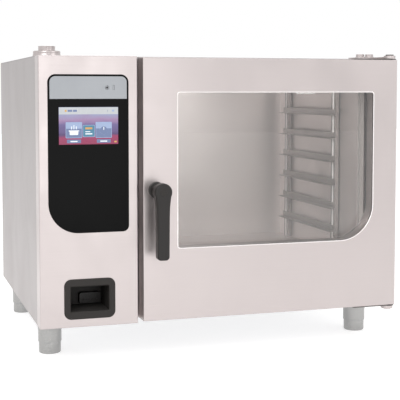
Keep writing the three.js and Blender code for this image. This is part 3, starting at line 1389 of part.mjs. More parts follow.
const feet = FEET.map(([name, x, y]) => assembly([x, y, 0], piece(`foot_${name}`, footPad(), FOOT_STEEL)));

// Everything above is placed from the casing's lower left front corner.
const pieces = [...casing, ...column, ...chamber, ...services, door, ...feet];
const oven = assembly([-BODY_W / 2, FRONT_Y, FOOT_H], ...pieces);

export default oven;
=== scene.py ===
# %% [markdown]
# # A combi steamer oven
# The oven is a folded stainless steel casing on round feet. A control column stands on the left,
# a glazed door hangs on the right, and behind the door is a chamber with racks for containers.
# The exact solids come in as a fixed frame. This file gives them their finishes, and builds the
# pieces whose roundness the eye notices: folded edges, moulded plastic, turned feet and screen.

# %% Load the frame
import json
import math

import bmesh
import bpy
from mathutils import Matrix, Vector

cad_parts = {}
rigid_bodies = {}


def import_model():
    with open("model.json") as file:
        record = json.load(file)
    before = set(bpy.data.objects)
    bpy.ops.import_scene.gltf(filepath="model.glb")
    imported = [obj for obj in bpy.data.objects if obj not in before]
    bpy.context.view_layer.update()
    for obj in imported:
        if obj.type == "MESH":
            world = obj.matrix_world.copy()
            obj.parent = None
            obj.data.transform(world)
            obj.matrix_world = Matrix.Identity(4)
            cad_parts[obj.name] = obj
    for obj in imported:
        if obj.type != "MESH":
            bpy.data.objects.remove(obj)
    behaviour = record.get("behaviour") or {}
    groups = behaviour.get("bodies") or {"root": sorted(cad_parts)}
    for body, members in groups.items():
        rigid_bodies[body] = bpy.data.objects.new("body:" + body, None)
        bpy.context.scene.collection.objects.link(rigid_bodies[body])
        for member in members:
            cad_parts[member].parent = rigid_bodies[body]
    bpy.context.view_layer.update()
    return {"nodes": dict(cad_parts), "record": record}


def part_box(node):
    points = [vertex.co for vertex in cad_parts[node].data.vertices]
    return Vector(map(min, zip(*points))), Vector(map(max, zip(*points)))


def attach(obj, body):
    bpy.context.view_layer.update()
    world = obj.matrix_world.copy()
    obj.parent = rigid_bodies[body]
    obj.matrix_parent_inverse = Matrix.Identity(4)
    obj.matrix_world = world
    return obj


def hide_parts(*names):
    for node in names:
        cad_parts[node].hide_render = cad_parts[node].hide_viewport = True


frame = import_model()
nodes = frame["nodes"]

MM = 0.001


def span(node):
    """The low and high corner of a node, as two lists."""
    low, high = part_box(node)
    return list(low), list(high)


# %% [markdown]
# The camera comes first, since everything is judged through it. It stands a little left of the
# oven and above its middle, about two and a half metres away, and looks down by a few degrees.
# A long lens keeps the upright edges nearly parallel, and a small shift keeps the feet in view.

# %% Camera
CAMERA_PLACE = Vector((-0.8823, -2.9492, 0.7020))
CAMERA_TURN = 0.304
CAMERA_DOWN = 0.062

camera_data = bpy.data.cameras.new("camera")
camera_data.lens = 92.6
camera_data.sensor_width = 36
camera_data.shift_y = -0.114
camera = bpy.data.objects.new("camera", camera_data)
bpy.context.scene.collection.objects.link(camera)
camera.location = CAMERA_PLACE
sight = Vector((
    math.sin(CAMERA_TURN) * math.cos(CAMERA_DOWN),
    math.cos(CAMERA_TURN) * math.cos(CAMERA_DOWN),
    -math.sin(CAMERA_DOWN),
))
camera.rotation_mode = "QUATERNION"
camera.rotation_quaternion = sight.to_track_quat("-Z", "Y")
bpy.context.scene.camera = camera
bpy.context.scene.view_settings.view_transform = "Standard"
print("camera looks along", [round(part, 3) for part in sight])

# %% [markdown]
# ## Shared effects
# Metal, plastic and glass all share a few effects: grain from the brush, cloudy patches left by a
# wiping cloth, and dust that lies on what faces up. Each is a node group with named inputs, built
# once and placed in every material with its own values. The helpers below keep that short.

# %% Helpers for node groups and materials
def new_group(name, inputs, outputs):
    """An empty node group with named sockets: inputs as name: default, outputs as name: type."""
    group = bpy.data.node_groups.new(name, "ShaderNodeTree")
    for socket, default in inputs.items():
        kind = "NodeSocketColor" if isinstance(default, tuple) else "NodeSocketFloat"
        made = group.interface.new_socket(socket, in_out="INPUT", socket_type=kind)
        made.default_value = default
    for socket, kind in outputs.items():
        group.interface.new_socket(socket, in_out="OUTPUT", socket_type=kind)
    return group, group.nodes.new("NodeGroupInput"), group.nodes.new("NodeGroupOutput")


def add(tree, kind, **settings):
    """A node of one kind: plain names set the node, names of sockets set its inputs."""
    node = tree.nodes.new(kind)
    for name, value in settings.items():
        if name.startswith("in_"):
            node.inputs[name[3:].replace("_", " ")].default_value = value
        else:
            setattr(node, name, value)
    return node


def math_node(tree, operation, first, second, clamp=False):
    """A Math node; each side is a number or a socket."""
    node = tree.nodes.new("ShaderNodeMath")
    node.operation = operation
    node.use_clamp = clamp
    for place, value in enumerate((first, second)):
        if isinstance(value, (int, float)):
            node.inputs[place].default_value = value
        else:
            tree.links.new(value, node.inputs[place])
    return node.outputs[0]


def ranged(tree, value, low, high, to_low, to_high):
    """A value moved from one range to another, each end a number or a socket."""
    node = tree.nodes.new("ShaderNodeMapRange")
    tree.links.new(value, node.inputs["Value"])
    ends = {"From Min": low, "From Max": high, "To Min": to_low, "To Max": to_high}
    for name, end in ends.items():
        if isinstance(end, (int, float)):
            node.inputs[name].default_value = end
        else:
            tree.links.new(end, node.inputs[name])
    return node.outputs["Result"]


def mixed(tree, share, first, second, blend="MIX"):
    """Two colours mixed by a share; each is a colour or a socket."""
    node = tree.nodes.new("ShaderNodeMix")
    node.data_type = "RGBA"
    node.blend_type = blend
    sockets = (("Factor", share), ("A", first), ("B", second))
    for name, value in sockets:
        socket = [s for s in node.inputs if s.name == name and s.enabled][0]
        if isinstance(value, (int, float, tuple)):
            socket.default_value = value
        else:
            tree.links.new(value, socket)
    return [s for s in node.outputs if s.enabled][0]


def place_texture(tree, scale):
    """Object coordinates, stretched by a scale for each axis."""
    place = tree.nodes.new("ShaderNodeTexCoord")
    stretch = tree.nodes.new("ShaderNodeMapping")
    stretch.inputs["Scale"].default_value = scale
    tree.links.new(place.outputs["Object"], stretch.inputs["Vector"])
    return stretch.outputs["Vector"]


def noise(tree, vector, scale, detail=3.0, roughness=0.55):
    """A noise value on a stretched place."""
    node = add(tree, "ShaderNodeTexNoise", in_Scale=scale, in_Detail=detail, in_Roughness=roughness)
    tree.links.new(vector, node.inputs["Vector"])
    return node.outputs["Fac"]


# %% [markdown]
# Stainless sheet is brushed by a belt that runs one way, so its grain is a set of very long, very
# thin lines. A noise stretched along the grain gives them. Under it lie slow changes, where the
# sheet is not quite flat and its reflections swell and narrow; those feed the bump at a large scale.

# %% Brushed grain
def build_brushed_grain():
    group, source, out = new_group(
        "brushed_grain",
        {"Colour": (0.7, 0.7, 0.7, 1), "Grain": 0.5, "Roughness": 0.3, "Unevenness": 0.5},
        {"Colour": "NodeSocketColor", "Roughness": "NodeSocketFloat", "Height": "NodeSocketFloat"},
    )
    fine = noise(group, place_texture(group, (3.0, 3.0, 520.0)), 4.0, 2.0)
    lines = noise(group, place_texture(group, (1.0, 1.0, 150.0)), 3.0, 3.0)
    swell = noise(group, place_texture(group, (1.0, 1.0, 0.45)), 3.4, 1.0)
    both = math_node(
        group, "ADD", math_node(group, "MULTIPLY", fine, 0.6), math_node(group, "MULTIPLY", lines, 0.4))
    strength = math_node(group, "MULTIPLY", source.outputs["Grain"], 0.16)
    share = math_node(group, "MULTIPLY", strength, both)
    darker = mixed(group, share, source.outputs["Colour"], (0.30, 0.28, 0.27, 1))
    group.links.new(darker, out.inputs["Colour"])
    change = math_node(group, "MULTIPLY", math_node(group, "SUBTRACT", both, 0.5), strength)
    rough = math_node(group, "ADD", source.outputs["Roughness"], change)
    group.links.new(rough, out.inputs["Roughness"])
    slow = math_node(group, "MULTIPLY", swell, source.outputs["Unevenness"])
    shallow = math_node(group, "MULTIPLY", source.outputs["Grain"], 0.02)
    height = math_node(group, "ADD", slow, math_node(group, "MULTIPLY", both, shallow))
    group.links.new(height, out.inputs["Height"])
    return group


brushed_grain = build_brushed_grain()
print("group", brushed_grain.name, len(brushed_grain.nodes), "nodes")

# %% [markdown]
# Hands and cloths leave faint cloudy patches on steel, glass and gloss black alike. A soft noise
# at the size of a palm gives them, and it acts mostly on the roughness.

# %% Wipe marks
def build_wipe_marks():
    group, source, out = new_group(
        "wipe_marks",
        {"Roughness": 0.3, "Amount": 0.1, "Size": 6.0},
        {"Roughness": "NodeSocketFloat", "Mask": "NodeSocketFloat"},
    )
    place = place_texture(group, (1.0, 1.0, 0.6))
    patches = add(group, "ShaderNodeTexNoise", in_Detail=4.0, in_Roughness=0.6, in_Distortion=0.6)
    group.links.new(place, patches.inputs["Vector"])
    group.links.new(source.outputs["Size"], patches.inputs["Scale"])
    mask = ranged(group, patches.outputs["Fac"], 0.42, 0.7, 0.0, 1.0)
    group.links.new(mask, out.inputs["Mask"])
    more = math_node(group, "MULTIPLY", mask, source.outputs["Amount"])
    group.links.new(math_node(group, "ADD", source.outputs["Roughness"], more), out.inputs["Roughness"])
    return group


wipe_marks = build_wipe_marks()

# %% [markdown]
# Dust settles on what faces up. The surface's own normal says how much a spot faces up, and a fine
# noise breaks the edge of the dust, so that roof, feet and ledges look used but clean.

# %% Settled dust
def build_settled_dust():
    group, source, out = new_group(
        "settled_dust",
        {"Colour": (0.5, 0.5, 0.5, 1), "Dust": (0.55, 0.53, 0.5, 1), "Amount": 0.15},
        {"Colour": "NodeSocketColor", "Mask": "NodeSocketFloat"},
    )
    facing = group.nodes.new("ShaderNodeNewGeometry")
    parts = group.nodes.new("ShaderNodeSeparateXYZ")
    group.links.new(facing.outputs["Normal"], parts.inputs[0])
    up = ranged(group, parts.outputs["Z"], 0.55, 1.0, 0.0, 1.0)
    broken = ranged(group, noise(group, place_texture(group, (1, 1, 1)), 90.0, 5.0), 0.35, 0.65, 0.3, 1.0)
    mask = math_node(group, "MULTIPLY", math_node(group, "MULTIPLY", up, broken), source.outputs["Amount"])
    group.links.new(mask, out.inputs["Mask"])
    dusted = mixed(group, mask, source.outputs["Colour"], source.outputs["Dust"])
    group.links.new(dusted, out.inputs["Colour"])
    return group


settled_dust = build_settled_dust()

# %% [markdown]
# Moulded plastic has a fine spark-eroded texture from its tool, and the colour of the plastic
# varies a little with its thickness and flow. A fine voronoi pattern is close to that texture.

# %% Moulded texture
def build_moulded_texture():
    group, source, out = new_group(
        "moulded_texture",
        {"Colour": (0.03, 0.03, 0.03, 1), "Roughness": 0.45, "Texture size": 900.0, "Cloud": 0.2},
        {"Colour": "NodeSocketColor", "Roughness": "NodeSocketFloat", "Height": "NodeSocketFloat"},
    )
    place = place_texture(group, (1, 1, 1))
    cells = add(group, "ShaderNodeTexVoronoi", feature="SMOOTH_F1")
    group.links.new(place, cells.inputs["Vector"])
    group.links.new(source.outputs["Texture size"], cells.inputs["Scale"])
    cloud = noise(group, place, 14.0, 3.0)
    share = math_node(group, "MULTIPLY", cloud, source.outputs["Cloud"])
    lighter = mixed(group, 1.0, source.outputs["Colour"], (1.7, 1.7, 1.7, 1), "MULTIPLY")
    group.links.new(mixed(group, share, source.outputs["Colour"], lighter), out.inputs["Colour"])
    change = math_node(group, "MULTIPLY", math_node(group, "SUBTRACT", cloud, 0.5), 0.16)
    rough = math_node(group, "ADD", source.outputs["Roughness"], change)
    group.links.new(rough, out.inputs["Roughness"])
    group.links.new(cells.outputs["Distance"], out.inputs["Height"])
    return group


moulded_texture = build_moulded_texture()
print("groups:", [group.name for group in bpy.data.node_groups])

# %% [markdown]
# ## Finishes
# The casing's front is brushed stainless, a warm light grey that mirrors the pale room. Its sides,
# roof and back get a darker, duller copy: duller as plain mill sheet, which nobody polishes, and darker
# as painted shade. The same builder makes every bare metal on the oven, with its own values.

# %% Bare metals
def start_material(name):
    """A material with its shader and its output, ready for groups."""
    made = bpy.data.materials.new(name)
    made.use_nodes = True
    return made, made.node_tree, made.node_tree.nodes["Principled BSDF"]


def placed(tree, group, **values):
    """A shared group placed in a material, with its own values."""
    node = tree.nodes.new("ShaderNodeGroup")
    node.node_tree = group
    for name, value in values.items():
        node.inputs[name.replace("_", " ")].default_value = value
    return node


def bumped(tree, shader, height, strength, distance):
    """A height that feeds the shader's normal."""
    bump = add(tree, "ShaderNodeBump", in_Strength=strength, in_Distance=distance)
    tree.links.new(height, bump.inputs["Height"])
    tree.links.new(bump.outputs["Normal"], shader.inputs["Normal"])


def bare_metal(name, colour, rough, grain=0.5, uneven=0.5, wiped=0.08, dust=0.1, bump=0.25):
    made, tree, shader = start_material(name)
    shader.inputs["Metallic"].default_value = 1.0
    brushed = placed(
        tree, brushed_grain, Colour=(*colour, 1), Grain=grain, Roughness=rough, Unevenness=uneven)
    marks = placed(tree, wipe_marks, Amount=wiped)
    tree.links.new(brushed.outputs["Roughness"], marks.inputs["Roughness"])
    dusty = placed(tree, settled_dust, Amount=dust)
    tree.links.new(brushed.outputs["Colour"], dusty.inputs["Colour"])
    tree.links.new(dusty.outputs["Colour"], shader.inputs["Base Color"])
    tree.links.new(marks.outputs["Roughness"], shader.inputs["Roughness"])
    bumped(tree, shader, brushed.outputs["Height"], bump, 0.004)
    return made


FINISH = {
    "casing_steel": bare_metal("casing_steel", (0.55, 0.498, 0.492), 0.30, grain=0.9, wiped=0.14),
    # Painted shade: sides, roof and back are a darker, duller copy of the casing steel.
    "shaded_side_steel": bare_metal("shaded_side_steel", (0.40, 0.372, 0.370), 0.38, grain=0.2),
    # Painted light: the chamber steel is a lighter copy of the casing steel, for the light inside the chamber.
    "chamber_steel": bare_metal("chamber_steel", (0.79, 0.73, 0.715), 0.45, grain=0.25, wiped=0.1),
    "foot_steel": bare_metal("foot_steel", (0.38, 0.38, 0.375), 0.24, grain=0.9, uneven=0.0),
    "zinc_steel": bare_metal("zinc_steel", (0.45, 0.46, 0.48), 0.45, grain=0.2, wiped=0.2),
    # Painted shade: the racks are a darker copy of the chamber steel, for the shade and dark reflections on posts
    # and rails.
    "shaded_rack_steel": bare_metal("shaded_rack_steel", (0.31, 0.278, 0.268), 0.32, grain=0.2, wiped=0.1),
    # Painted highlight: a near-white copy of the steel for the bright line round the window's cut-out.
    "edge_highlight_steel": bare_metal("edge_highlight_steel", (0.93, 0.90, 0.89), 0.16, grain=0.1, uneven=0.0, dust=0.0),
    "dark_steel": bare_metal("dark_steel", (0.12, 0.11, 0.105), 0.42, grain=0.4),
    "brass": bare_metal("brass", (0.52, 0.38, 0.15), 0.32, grain=0.4),
    "silver_trim": bare_metal("silver_trim", (0.325, 0.338, 0.356), 0.42, grain=0.15, uneven=0.1, dust=0.0),
}
print(len(FINISH), "bare metals")

# %% [markdown]
# The plastics are black and dark grey, moulded, with a soft sheen. The rubber of gasket and hose is
# duller. Gloss black lies behind the control glass, so it gets almost no texture.

# %% Plastics, rubber and gloss black
def plastic(name, colour, rough, texture=900.0, cloud=0.25, bump=0.12, dust=0.06, shine=0.5):
    made, tree, shader = start_material(name)
    shader.inputs["Specular IOR Level"].default_value = shine
    skin = placed(
        tree, moulded_texture, Colour=(*colour, 1), Roughness=rough, Texture_size=texture, Cloud=cloud)
    dusty = placed(tree, settled_dust, Amount=dust)
    tree.links.new(skin.outputs["Colour"], dusty.inputs["Colour"])
    tree.links.new(dusty.outputs["Colour"], shader.inputs["Base Color"])
    tree.links.new(skin.outputs["Roughness"], shader.inputs["Roughness"])
    bumped(tree, shader, skin.outputs["Height"], bump, 0.0006)
    return made


FINISH["black_plastic"] = plastic("black_plastic", (0.017, 0.0150, 0.0140), 0.36, shine=0.34)
FINISH["grey_plastic"] = plastic("grey_plastic", (0.030, 0.027, 0.025), 0.5, shine=0.25)
FINISH["rubber"] = plastic("rubber", (0.016, 0.016, 0.015), 0.78, texture=500.0, bump=0.3)
FINISH["pale_rubber"] = plastic("pale_rubber", (0.36, 0.33, 0.32), 0.6, texture=400.0)
# Painted highlight: a near-white strip down each rack post.
FINISH["post_highlight_rib"] = plastic("post_highlight_rib", (0.84, 0.81, 0.80), 0.35, texture=1500.0, bump=0.03)
FINISH["circuit_board"] = plastic("circuit_board", (0.025, 0.095, 0.04), 0.4, texture=240.0, cloud=0.6)
FINISH["mineral_wool"] = plastic(
    "mineral_wool", (0.55, 0.43, 0.14), 0.95, texture=170.0, cloud=0.7, bump=0.9)


def gloss_black():
    made, tree, shader = start_material("black_glass")
    marks = placed(tree, wipe_marks, Roughness=0.13, Amount=0.12, Size=9.0)
    cloudy = mixed(tree, marks.outputs["Mask"], (0.0062, 0.0062, 0.0063, 1), (0.0076, 0.0076, 0.0077, 1))
    tree.links.new(cloudy, shader.inputs["Base Color"])
    tree.links.new(marks.outputs["Roughness"], shader.inputs["Roughness"])
    shader.inputs["Specular IOR Level"].default_value = 0.05
    return made


FINISH["black_glass"] = gloss_black()

# %% [markdown]
# Window glass has to let the room's light into the chamber, which plain refraction blocks: a lamp's
# light would have to be traced backwards through it. So the pane is clear for shadow and diffuse
# rays, and real glass, with its faint green and its reflections, for everything else.

# %% Window glass
def window_glass():
    made, tree, shader = start_material("clear_glass")
    shader.inputs["Transmission Weight"].default_value = 1.0
    shader.inputs["IOR"].default_value = 1.45
    marks = placed(tree, wipe_marks, Roughness=0.004, Amount=0.02, Size=5.0)
    tree.links.new(marks.outputs["Roughness"], shader.inputs["Roughness"])
    tint = mixed(tree, marks.outputs["Mask"], (0.995, 0.995, 0.99, 1), (0.985, 0.988, 0.982, 1))
    tree.links.new(tint, shader.inputs["Base Color"])
    clear = add(tree, "ShaderNodeBsdfTransparent", in_Color=(0.985, 0.985, 0.98, 1))
    rays = tree.nodes.new("ShaderNodeLightPath")
    lighting = math_node(tree, "MAXIMUM", rays.outputs["Is Shadow Ray"], rays.outputs["Is Diffuse Ray"])
    pick = tree.nodes.new("ShaderNodeMixShader")
    tree.links.new(lighting, pick.inputs["Fac"])
    tree.links.new(shader.outputs[0], pick.inputs[1])
    tree.links.new(clear.outputs[0], pick.inputs[2])
    tree.links.new(pick.outputs[0], tree.nodes["Material Output"].inputs["Surface"])
    return made


FINISH["clear_glass"] = window_glass()

# %% [markdown]
# The display shows a made-up start page. Its backdrop fades from pale grey through violet to a deep
# magenta at the foot, which is a colour ramp up the panel. Tiles and signs are thin inlays on it.

# %% Display backdrop
DISPLAY_LOW, DISPLAY_HIGH = span("touch_display")


def lit_surface(name, tree_colour, strength, rough=0.2):
    """A lit surface: its own colour glows, and its glass still reflects a little."""
    made, tree, shader = start_material(name)
    colour = tree_colour(tree)
    dim = mixed(tree, 1.0, colour, (0.25, 0.25, 0.25, 1), "MULTIPLY")
    tree.links.new(dim, shader.inputs["Base Color"])
    tree.links.new(colour, shader.inputs["Emission Color"])
    shader.inputs["Emission Strength"].default_value = strength
    marks = placed(tree, wipe_marks, Roughness=rough, Amount=0.1, Size=12.0)
    tree.links.new(marks.outputs["Roughness"], shader.inputs["Roughness"])
    return made


def backdrop_colour(tree):
    place = tree.nodes.new("ShaderNodeTexCoord")
    parts = tree.nodes.new("ShaderNodeSeparateXYZ")
    tree.links.new(place.outputs["Object"], parts.inputs[0])
    waves = noise(tree, place_texture(tree, (9.0, 1.0, 30.0)), 1.6, 2.0)
    lift = math_node(tree, "MULTIPLY", math_node(tree, "SUBTRACT", waves, 0.5), 0.03)
    wavy = math_node(tree, "ADD", parts.outputs["Z"], lift)
    height = ranged(tree, wavy, DISPLAY_LOW[2], DISPLAY_HIGH[2], 0.0, 1.0)
    ramp = tree.nodes.new("ShaderNodeValToRGB")
    stops = [
        (0.0, (0.30, 0.025, 0.09, 1)),
        (0.16, (0.34, 0.03, 0.12, 1)),
        (0.26, (0.09, 0.045, 0.16, 1)),
        (0.5, (0.16, 0.12, 0.30, 1)),
        (0.66, (0.38, 0.24, 0.42, 1)),
        (0.82, (0.34, 0.36, 0.55, 1)),
    ]
    while len(ramp.color_ramp.elements) < len(stops):
        ramp.color_ramp.elements.new(0.5)
    for element, (where, colour) in zip(ramp.color_ramp.elements, stops):
        element.position = where
        element.color = colour
    tree.links.new(height, ramp.inputs["Fac"])
    return ramp.outputs["Color"]


def even_colour(colour):
    """A nearly even lit colour with a faint cloud in it."""
    def build(tree):
        lighter = tuple(min(1.0, part * 1.15) for part in colour[:3]) + (1,)
        return mixed(tree, noise(tree, place_texture(tree, (1, 1, 1)), 60.0), colour, lighter)
    return build


FINISH["display"] = lit_surface("display", backdrop_colour, 0.75)
INLAY = {
    "bar": lit_surface("screen_bar", even_colour((0.52, 0.54, 0.56, 1)), 0.8),
    "tile": lit_surface("screen_tile", even_colour((0.15, 0.20, 0.36, 1)), 0.8),
    "teal": lit_surface("screen_teal", even_colour((0.06, 0.21, 0.32, 1)), 0.8),
    "frame": lit_surface("screen_tile_edge", even_colour((0.33, 0.42, 0.62, 1)), 0.8),
    "sign": lit_surface("screen_sign", even_colour((0.78, 0.82, 0.86, 1)), 0.9),
    "amber": lit_surface("screen_amber", even_colour((0.62, 0.35, 0.10, 1)), 0.8),
}
print("display finishes:", len(INLAY) + 1)

# %% [markdown]
# ## Casing
# The frame's solids are faceted, with a flat shade on every triangle. A small node modifier welds
# their corners and smooths whatever bends by less than 32 degrees, so that tubes and large round
# corners shade as round while folds stay crisp. The solids themselves aren't touched.

# %% Smooth shading by angle
def build_round_shading():
    group = bpy.data.node_groups.new("round_shading", "GeometryNodeTree")
    group.interface.new_socket("Geometry", in_out="INPUT", socket_type="NodeSocketGeometry")
    group.interface.new_socket("Geometry", in_out="OUTPUT", socket_type="NodeSocketGeometry")
    source = group.nodes.new("NodeGroupInput")
    out = group.nodes.new("NodeGroupOutput")
    forget = group.nodes.new("GeometryNodeRemoveAttribute")
    forget.inputs["Name"].default_value = "custom_normal"
    weld = group.nodes.new("GeometryNodeMergeByDistance")
    weld.inputs["Distance"].default_value = 1e-5
    soft = group.nodes.new("GeometryNodeSetShadeSmooth")
    crisp = group.nodes.new("GeometryNodeSetShadeSmooth")
    crisp.domain = "EDGE"
    crisp.inputs["Shade Smooth"].default_value = False
    angle = group.nodes.new("GeometryNodeInputMeshEdgeAngle")
    sharp = group.nodes.new("FunctionNodeCompare")
    sharp.inputs[1].default_value = math.radians(32)
    group.links.new(source.outputs[0], forget.inputs[0])
    group.links.new(forget.outputs[0], weld.inputs[0])
    group.links.new(weld.outputs[0], soft.inputs[0])
    group.links.new(soft.outputs[0], crisp.inputs[0])
    group.links.new(angle.outputs["Unsigned Angle"], sharp.inputs[0])
    group.links.new(sharp.outputs[0], crisp.inputs["Selection"])
    group.links.new(crisp.outputs[0], out.inputs[0])
    return group


round_shading = build_round_shading()


def shade_round(piece):
    modifier = piece.modifiers.new("round_shading", "NODES")
    modifier.node_group = round_shading


# %% Finishes on the frame's own solids
slot_of = {row["node"]: row["material_slot"] for row in frame["record"]["subparts"]}


def finish_piece(piece, slot):
    """A piece's one finish, in place of whatever it came with."""
    piece.data.materials.clear()
    piece.data.materials.append(FINISH[slot])


# The racks get the darker rack steel, which is painted shade.
own_finish = {"rack_left": "shaded_rack_steel", "rack_right": "shaded_rack_steel", "door_gasket": "pale_rubber"}
# Sides, roof and back get the darker steel, which is painted shade.
for name in ("left_side_panel", "right_side_panel", "top_cover", "rear_panel"):
    own_finish[name] = "shaded_side_steel"
for name, node in nodes.items():
    finish_piece(node, own_finish.get(name, slot_of[name]))
    shade_round(node)
print(len(nodes), "solids finished")

# %% [markdown]
# ## Building with outlines
# Folded steel and moulded covers are both an outline given depth. One helper turns an outline into
# rings of points with a rounded front edge, and another closes the space between an outer ring and
# the holes in it. Everything here is drawn in X and Z, looking at the oven's front.

# %% Outlines
def round_outline(x0, x1, z0, z1, radii, per_corner=12):
    """A rectangle with a radius for each corner: lower left, lower right, upper right, upper left."""
    if isinstance(radii, (int, float)):
        radii = (radii,) * 4
    middles = [
        (x0 + radii[0], z0 + radii[0]),
        (x1 - radii[1], z0 + radii[1]),
        (x1 - radii[2], z1 - radii[2]),
        (x0 + radii[3], z1 - radii[3]),
    ]
    points = []
    for corner, (x, z) in enumerate(middles):
        for step in range(per_corner + 1):
            angle = math.pi * (1 + corner / 2 + step / per_corner / 2)
            points.append((x + radii[corner] * math.cos(angle), z + radii[corner] * math.sin(angle)))
    return points


def inset_outline(low, high, inset, radii, per_corner):
    """A rounded rectangle inside a box seen from the front, drawn in from its sides."""
    return round_outline(low[0] + inset, high[0] - inset, low[2] + inset, high[2] - inset, radii, per_corner)


def circle_outline(x, z, radius, sides=48):
    turns = [2 * math.pi * step / sides for step in range(sides)]
    return [(x + radius * math.cos(turn), z + radius * math.sin(turn)) for turn in turns]


def ring(mesh, outline, y):
    return [mesh.verts.new((x, y, z)) for x, z in outline]


def wall(mesh, first, second):
    """Faces between two rings with as many points."""
    count = len(first)
    return [
        mesh.faces.new((first[i], first[(i + 1) % count], second[(i + 1) % count], second[i]))
        for i in range(count)
    ]


def close(mesh, *rings):
    """A flat face between an outer ring and any holes in it."""
    edges = []
    for points in rings:
        for i, point in enumerate(points):
            pair = (point, points[(i + 1) % len(points)])
            edges.append(mesh.edges.get(pair) or mesh.edges.new(pair))
    bmesh.ops.triangle_fill(mesh, use_beauty=True, edges=edges)


def finished_mesh(name, mesh, slot, body, stands_for=(), angle=32):
    """Turns a bmesh into a piece that rides on a body."""
    bmesh.ops.remove_doubles(mesh, verts=mesh.verts, dist=1e-6)
    bmesh.ops.recalc_face_normals(mesh, faces=mesh.faces)
    data = bpy.data.meshes.new(name)
    mesh.to_mesh(data)
    mesh.free()
    data.polygons.foreach_set("use_smooth", [True] * len(data.polygons))
    data.set_sharp_from_angle(angle=math.radians(angle))
    piece = bpy.data.objects.new(name, data)
    bpy.context.scene.collection.objects.link(piece)
    flat = piece.modifiers.new("flat_faces", "WEIGHTED_NORMAL")
    flat.keep_sharp = True
    finish_piece(piece, slot)
    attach(piece, body)
    if stands_for:
        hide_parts(*stands_for)
    return piece


def rounded_rings(mesh, outline_at, front, radius, steps=4):
    """Rings that turn from a front face into a side by a quarter round."""
    rings = []
    for step in range(steps + 1):
        turn = math.pi / 2 * step / steps
        inset = radius * (1 - math.sin(turn))
        depth = radius * (1 - math.cos(turn))
        rings.append(ring(mesh, outline_at(inset), front + depth))
    for first, second in zip(rings, rings[1:]):
        wall(mesh, first, second)
    return rings[0], rings[-1]


# %% [markdown]
# ## Control column and door skins
# Both are folded boxes: a front sheet with its edges turned back through a small radius. The catch
# of light along that radius is what makes thin steel look folded, so the radius is real geometry.

# %% Folded box
SHEET = 1.5 * MM
FOLD = 2.2 * MM
FOLD_CORNER = 0.8 * MM
CUT_EDGE = 0.7 * MM


def folded_box(name, low, high, holes, slot, body, stands_for):
    """A folded front with holes in it, open at the back. Each hole is a function of its growth."""
    mesh = bmesh.new()

    def outside(inset):
        return inset_outline(low, high, inset, FOLD_CORNER, 3)

    face, side = rounded_rings(mesh, outside, low[1], FOLD)
    back = ring(mesh, outside(0), high[1])
    wall(mesh, side, back)
    inner_back = ring(mesh, outside(SHEET), high[1])
    wall(mesh, back, inner_back)
    inner_face = ring(mesh, outside(SHEET), low[1] + SHEET)
    wall(mesh, inner_back, inner_face)
    fronts, backs = [face], [inner_face]
    for hole in holes:
        edge, inner = rounded_rings(mesh, lambda inset: hole(-inset), low[1], CUT_EDGE, 3)
        rear = ring(mesh, hole(0), low[1] + SHEET)
        wall(mesh, inner, rear)
        fronts.append(edge)
        backs.append(rear)
    close(mesh, *fronts)
    close(mesh, *backs)
    return finished_mesh(name, mesh, slot, body, stands_for, 40)


# %% Where things are on the column and the door
COLUMN_LOW, COLUMN_HIGH = span("control_fascia")
PANEL_LOW, PANEL_HIGH = span("control_panel")
RIM_LOW, RIM_HIGH = span("shower_recess")
DOOR_LOW, DOOR_HIGH = span("door_outer_shell")
GLASS_LOW, GLASS_HIGH = span("door_glass_outer")
PANEL_SWEEP = 78 * MM
WINDOW_SWEEP = 98 * MM
GLASS_LAP = 14 * MM
RECESS_WALL = 16 * MM
CUP_CORNER = 3 * MM
PANEL_LAP = 6 * MM
CUP_LAP = 3.5 * MM


def panel_outline(inset=0.0):
    radii = tuple(radius - inset for radius in (PANEL_SWEEP, 16 * MM, 20 * MM, 20 * MM))
    return inset_outline(PANEL_LOW, PANEL_HIGH, inset, radii, 24)


def window_outline(inset=0.0):
    low = [GLASS_LOW[i] + GLASS_LAP + inset for i in range(3)]
    high = [GLASS_HIGH[i] - GLASS_LAP - inset for i in range(3)]
    small = 6 * MM - inset
    return round_outline(low[0], high[0], low[2], high[2], (small, WINDOW_SWEEP - inset, small, small), 24)


def cup_outline(inset=0.0):
    """The opening of the shower's cup."""
    side, up = RECESS_WALL + inset, RECESS_WALL + 3 * MM + inset
    return round_outline(
        RIM_LOW[0] + side, RIM_HIGH[0] - side, RIM_LOW[2] + up, RIM_HIGH[2] - up, CUP_CORNER, 4)


column = folded_box(
    "column_front", COLUMN_LOW, COLUMN_HIGH,
    [lambda inset: panel_outline(PANEL_LAP + inset), lambda inset: cup_outline(inset - CUP_LAP)],
    "casing_steel", "cabinet", ("control_fascia",),
)
door = folded_box(
    "door_front", DOOR_LOW, DOOR_HIGH, [window_outline], "casing_steel", "door", ("door_outer_shell",),
)
print("column", len(column.data.vertices), "points; door", len(door.data.vertices), "points")

# %% [markdown]
# Turned parts are a profile spun about an upright axis: feet, vent and button. Sixty-four steps
# round make them read as round. Each profile is a list of radius and height in millimetres, and
# small steps at its corners stand for the edges that a lathe tool or a press leaves.

# %% Turned parts
def turned(name, profile, centre, slot, body, stands_for=(), sides=64, axis="Z"):
    """Spins a profile of (radius, height) in millimetres about a line through the centre."""
    mesh = bmesh.new()
    rings = []
    closed = profile[0] == profile[-1]
    for radius, height in profile[:-1] if closed else profile:
        points = circle_outline(0, 0, radius * MM, sides)
        if axis == "Z":
            rings.append([mesh.verts.new((centre[0] + a, centre[1] + b, height * MM)) for a, b in points])
        else:
            rings.append([mesh.verts.new((centre[0] + a, height * MM, centre[1] + b)) for a, b in points])
    if closed:
        rings.append(rings[0])
    for first, second in zip(rings, rings[1:]):
        wall(mesh, first, second)
    if not closed:
        for end in (rings[0], rings[-1]):
            mesh.faces.new(end)
    return finished_mesh(name, mesh, slot, body, stands_for, 34)


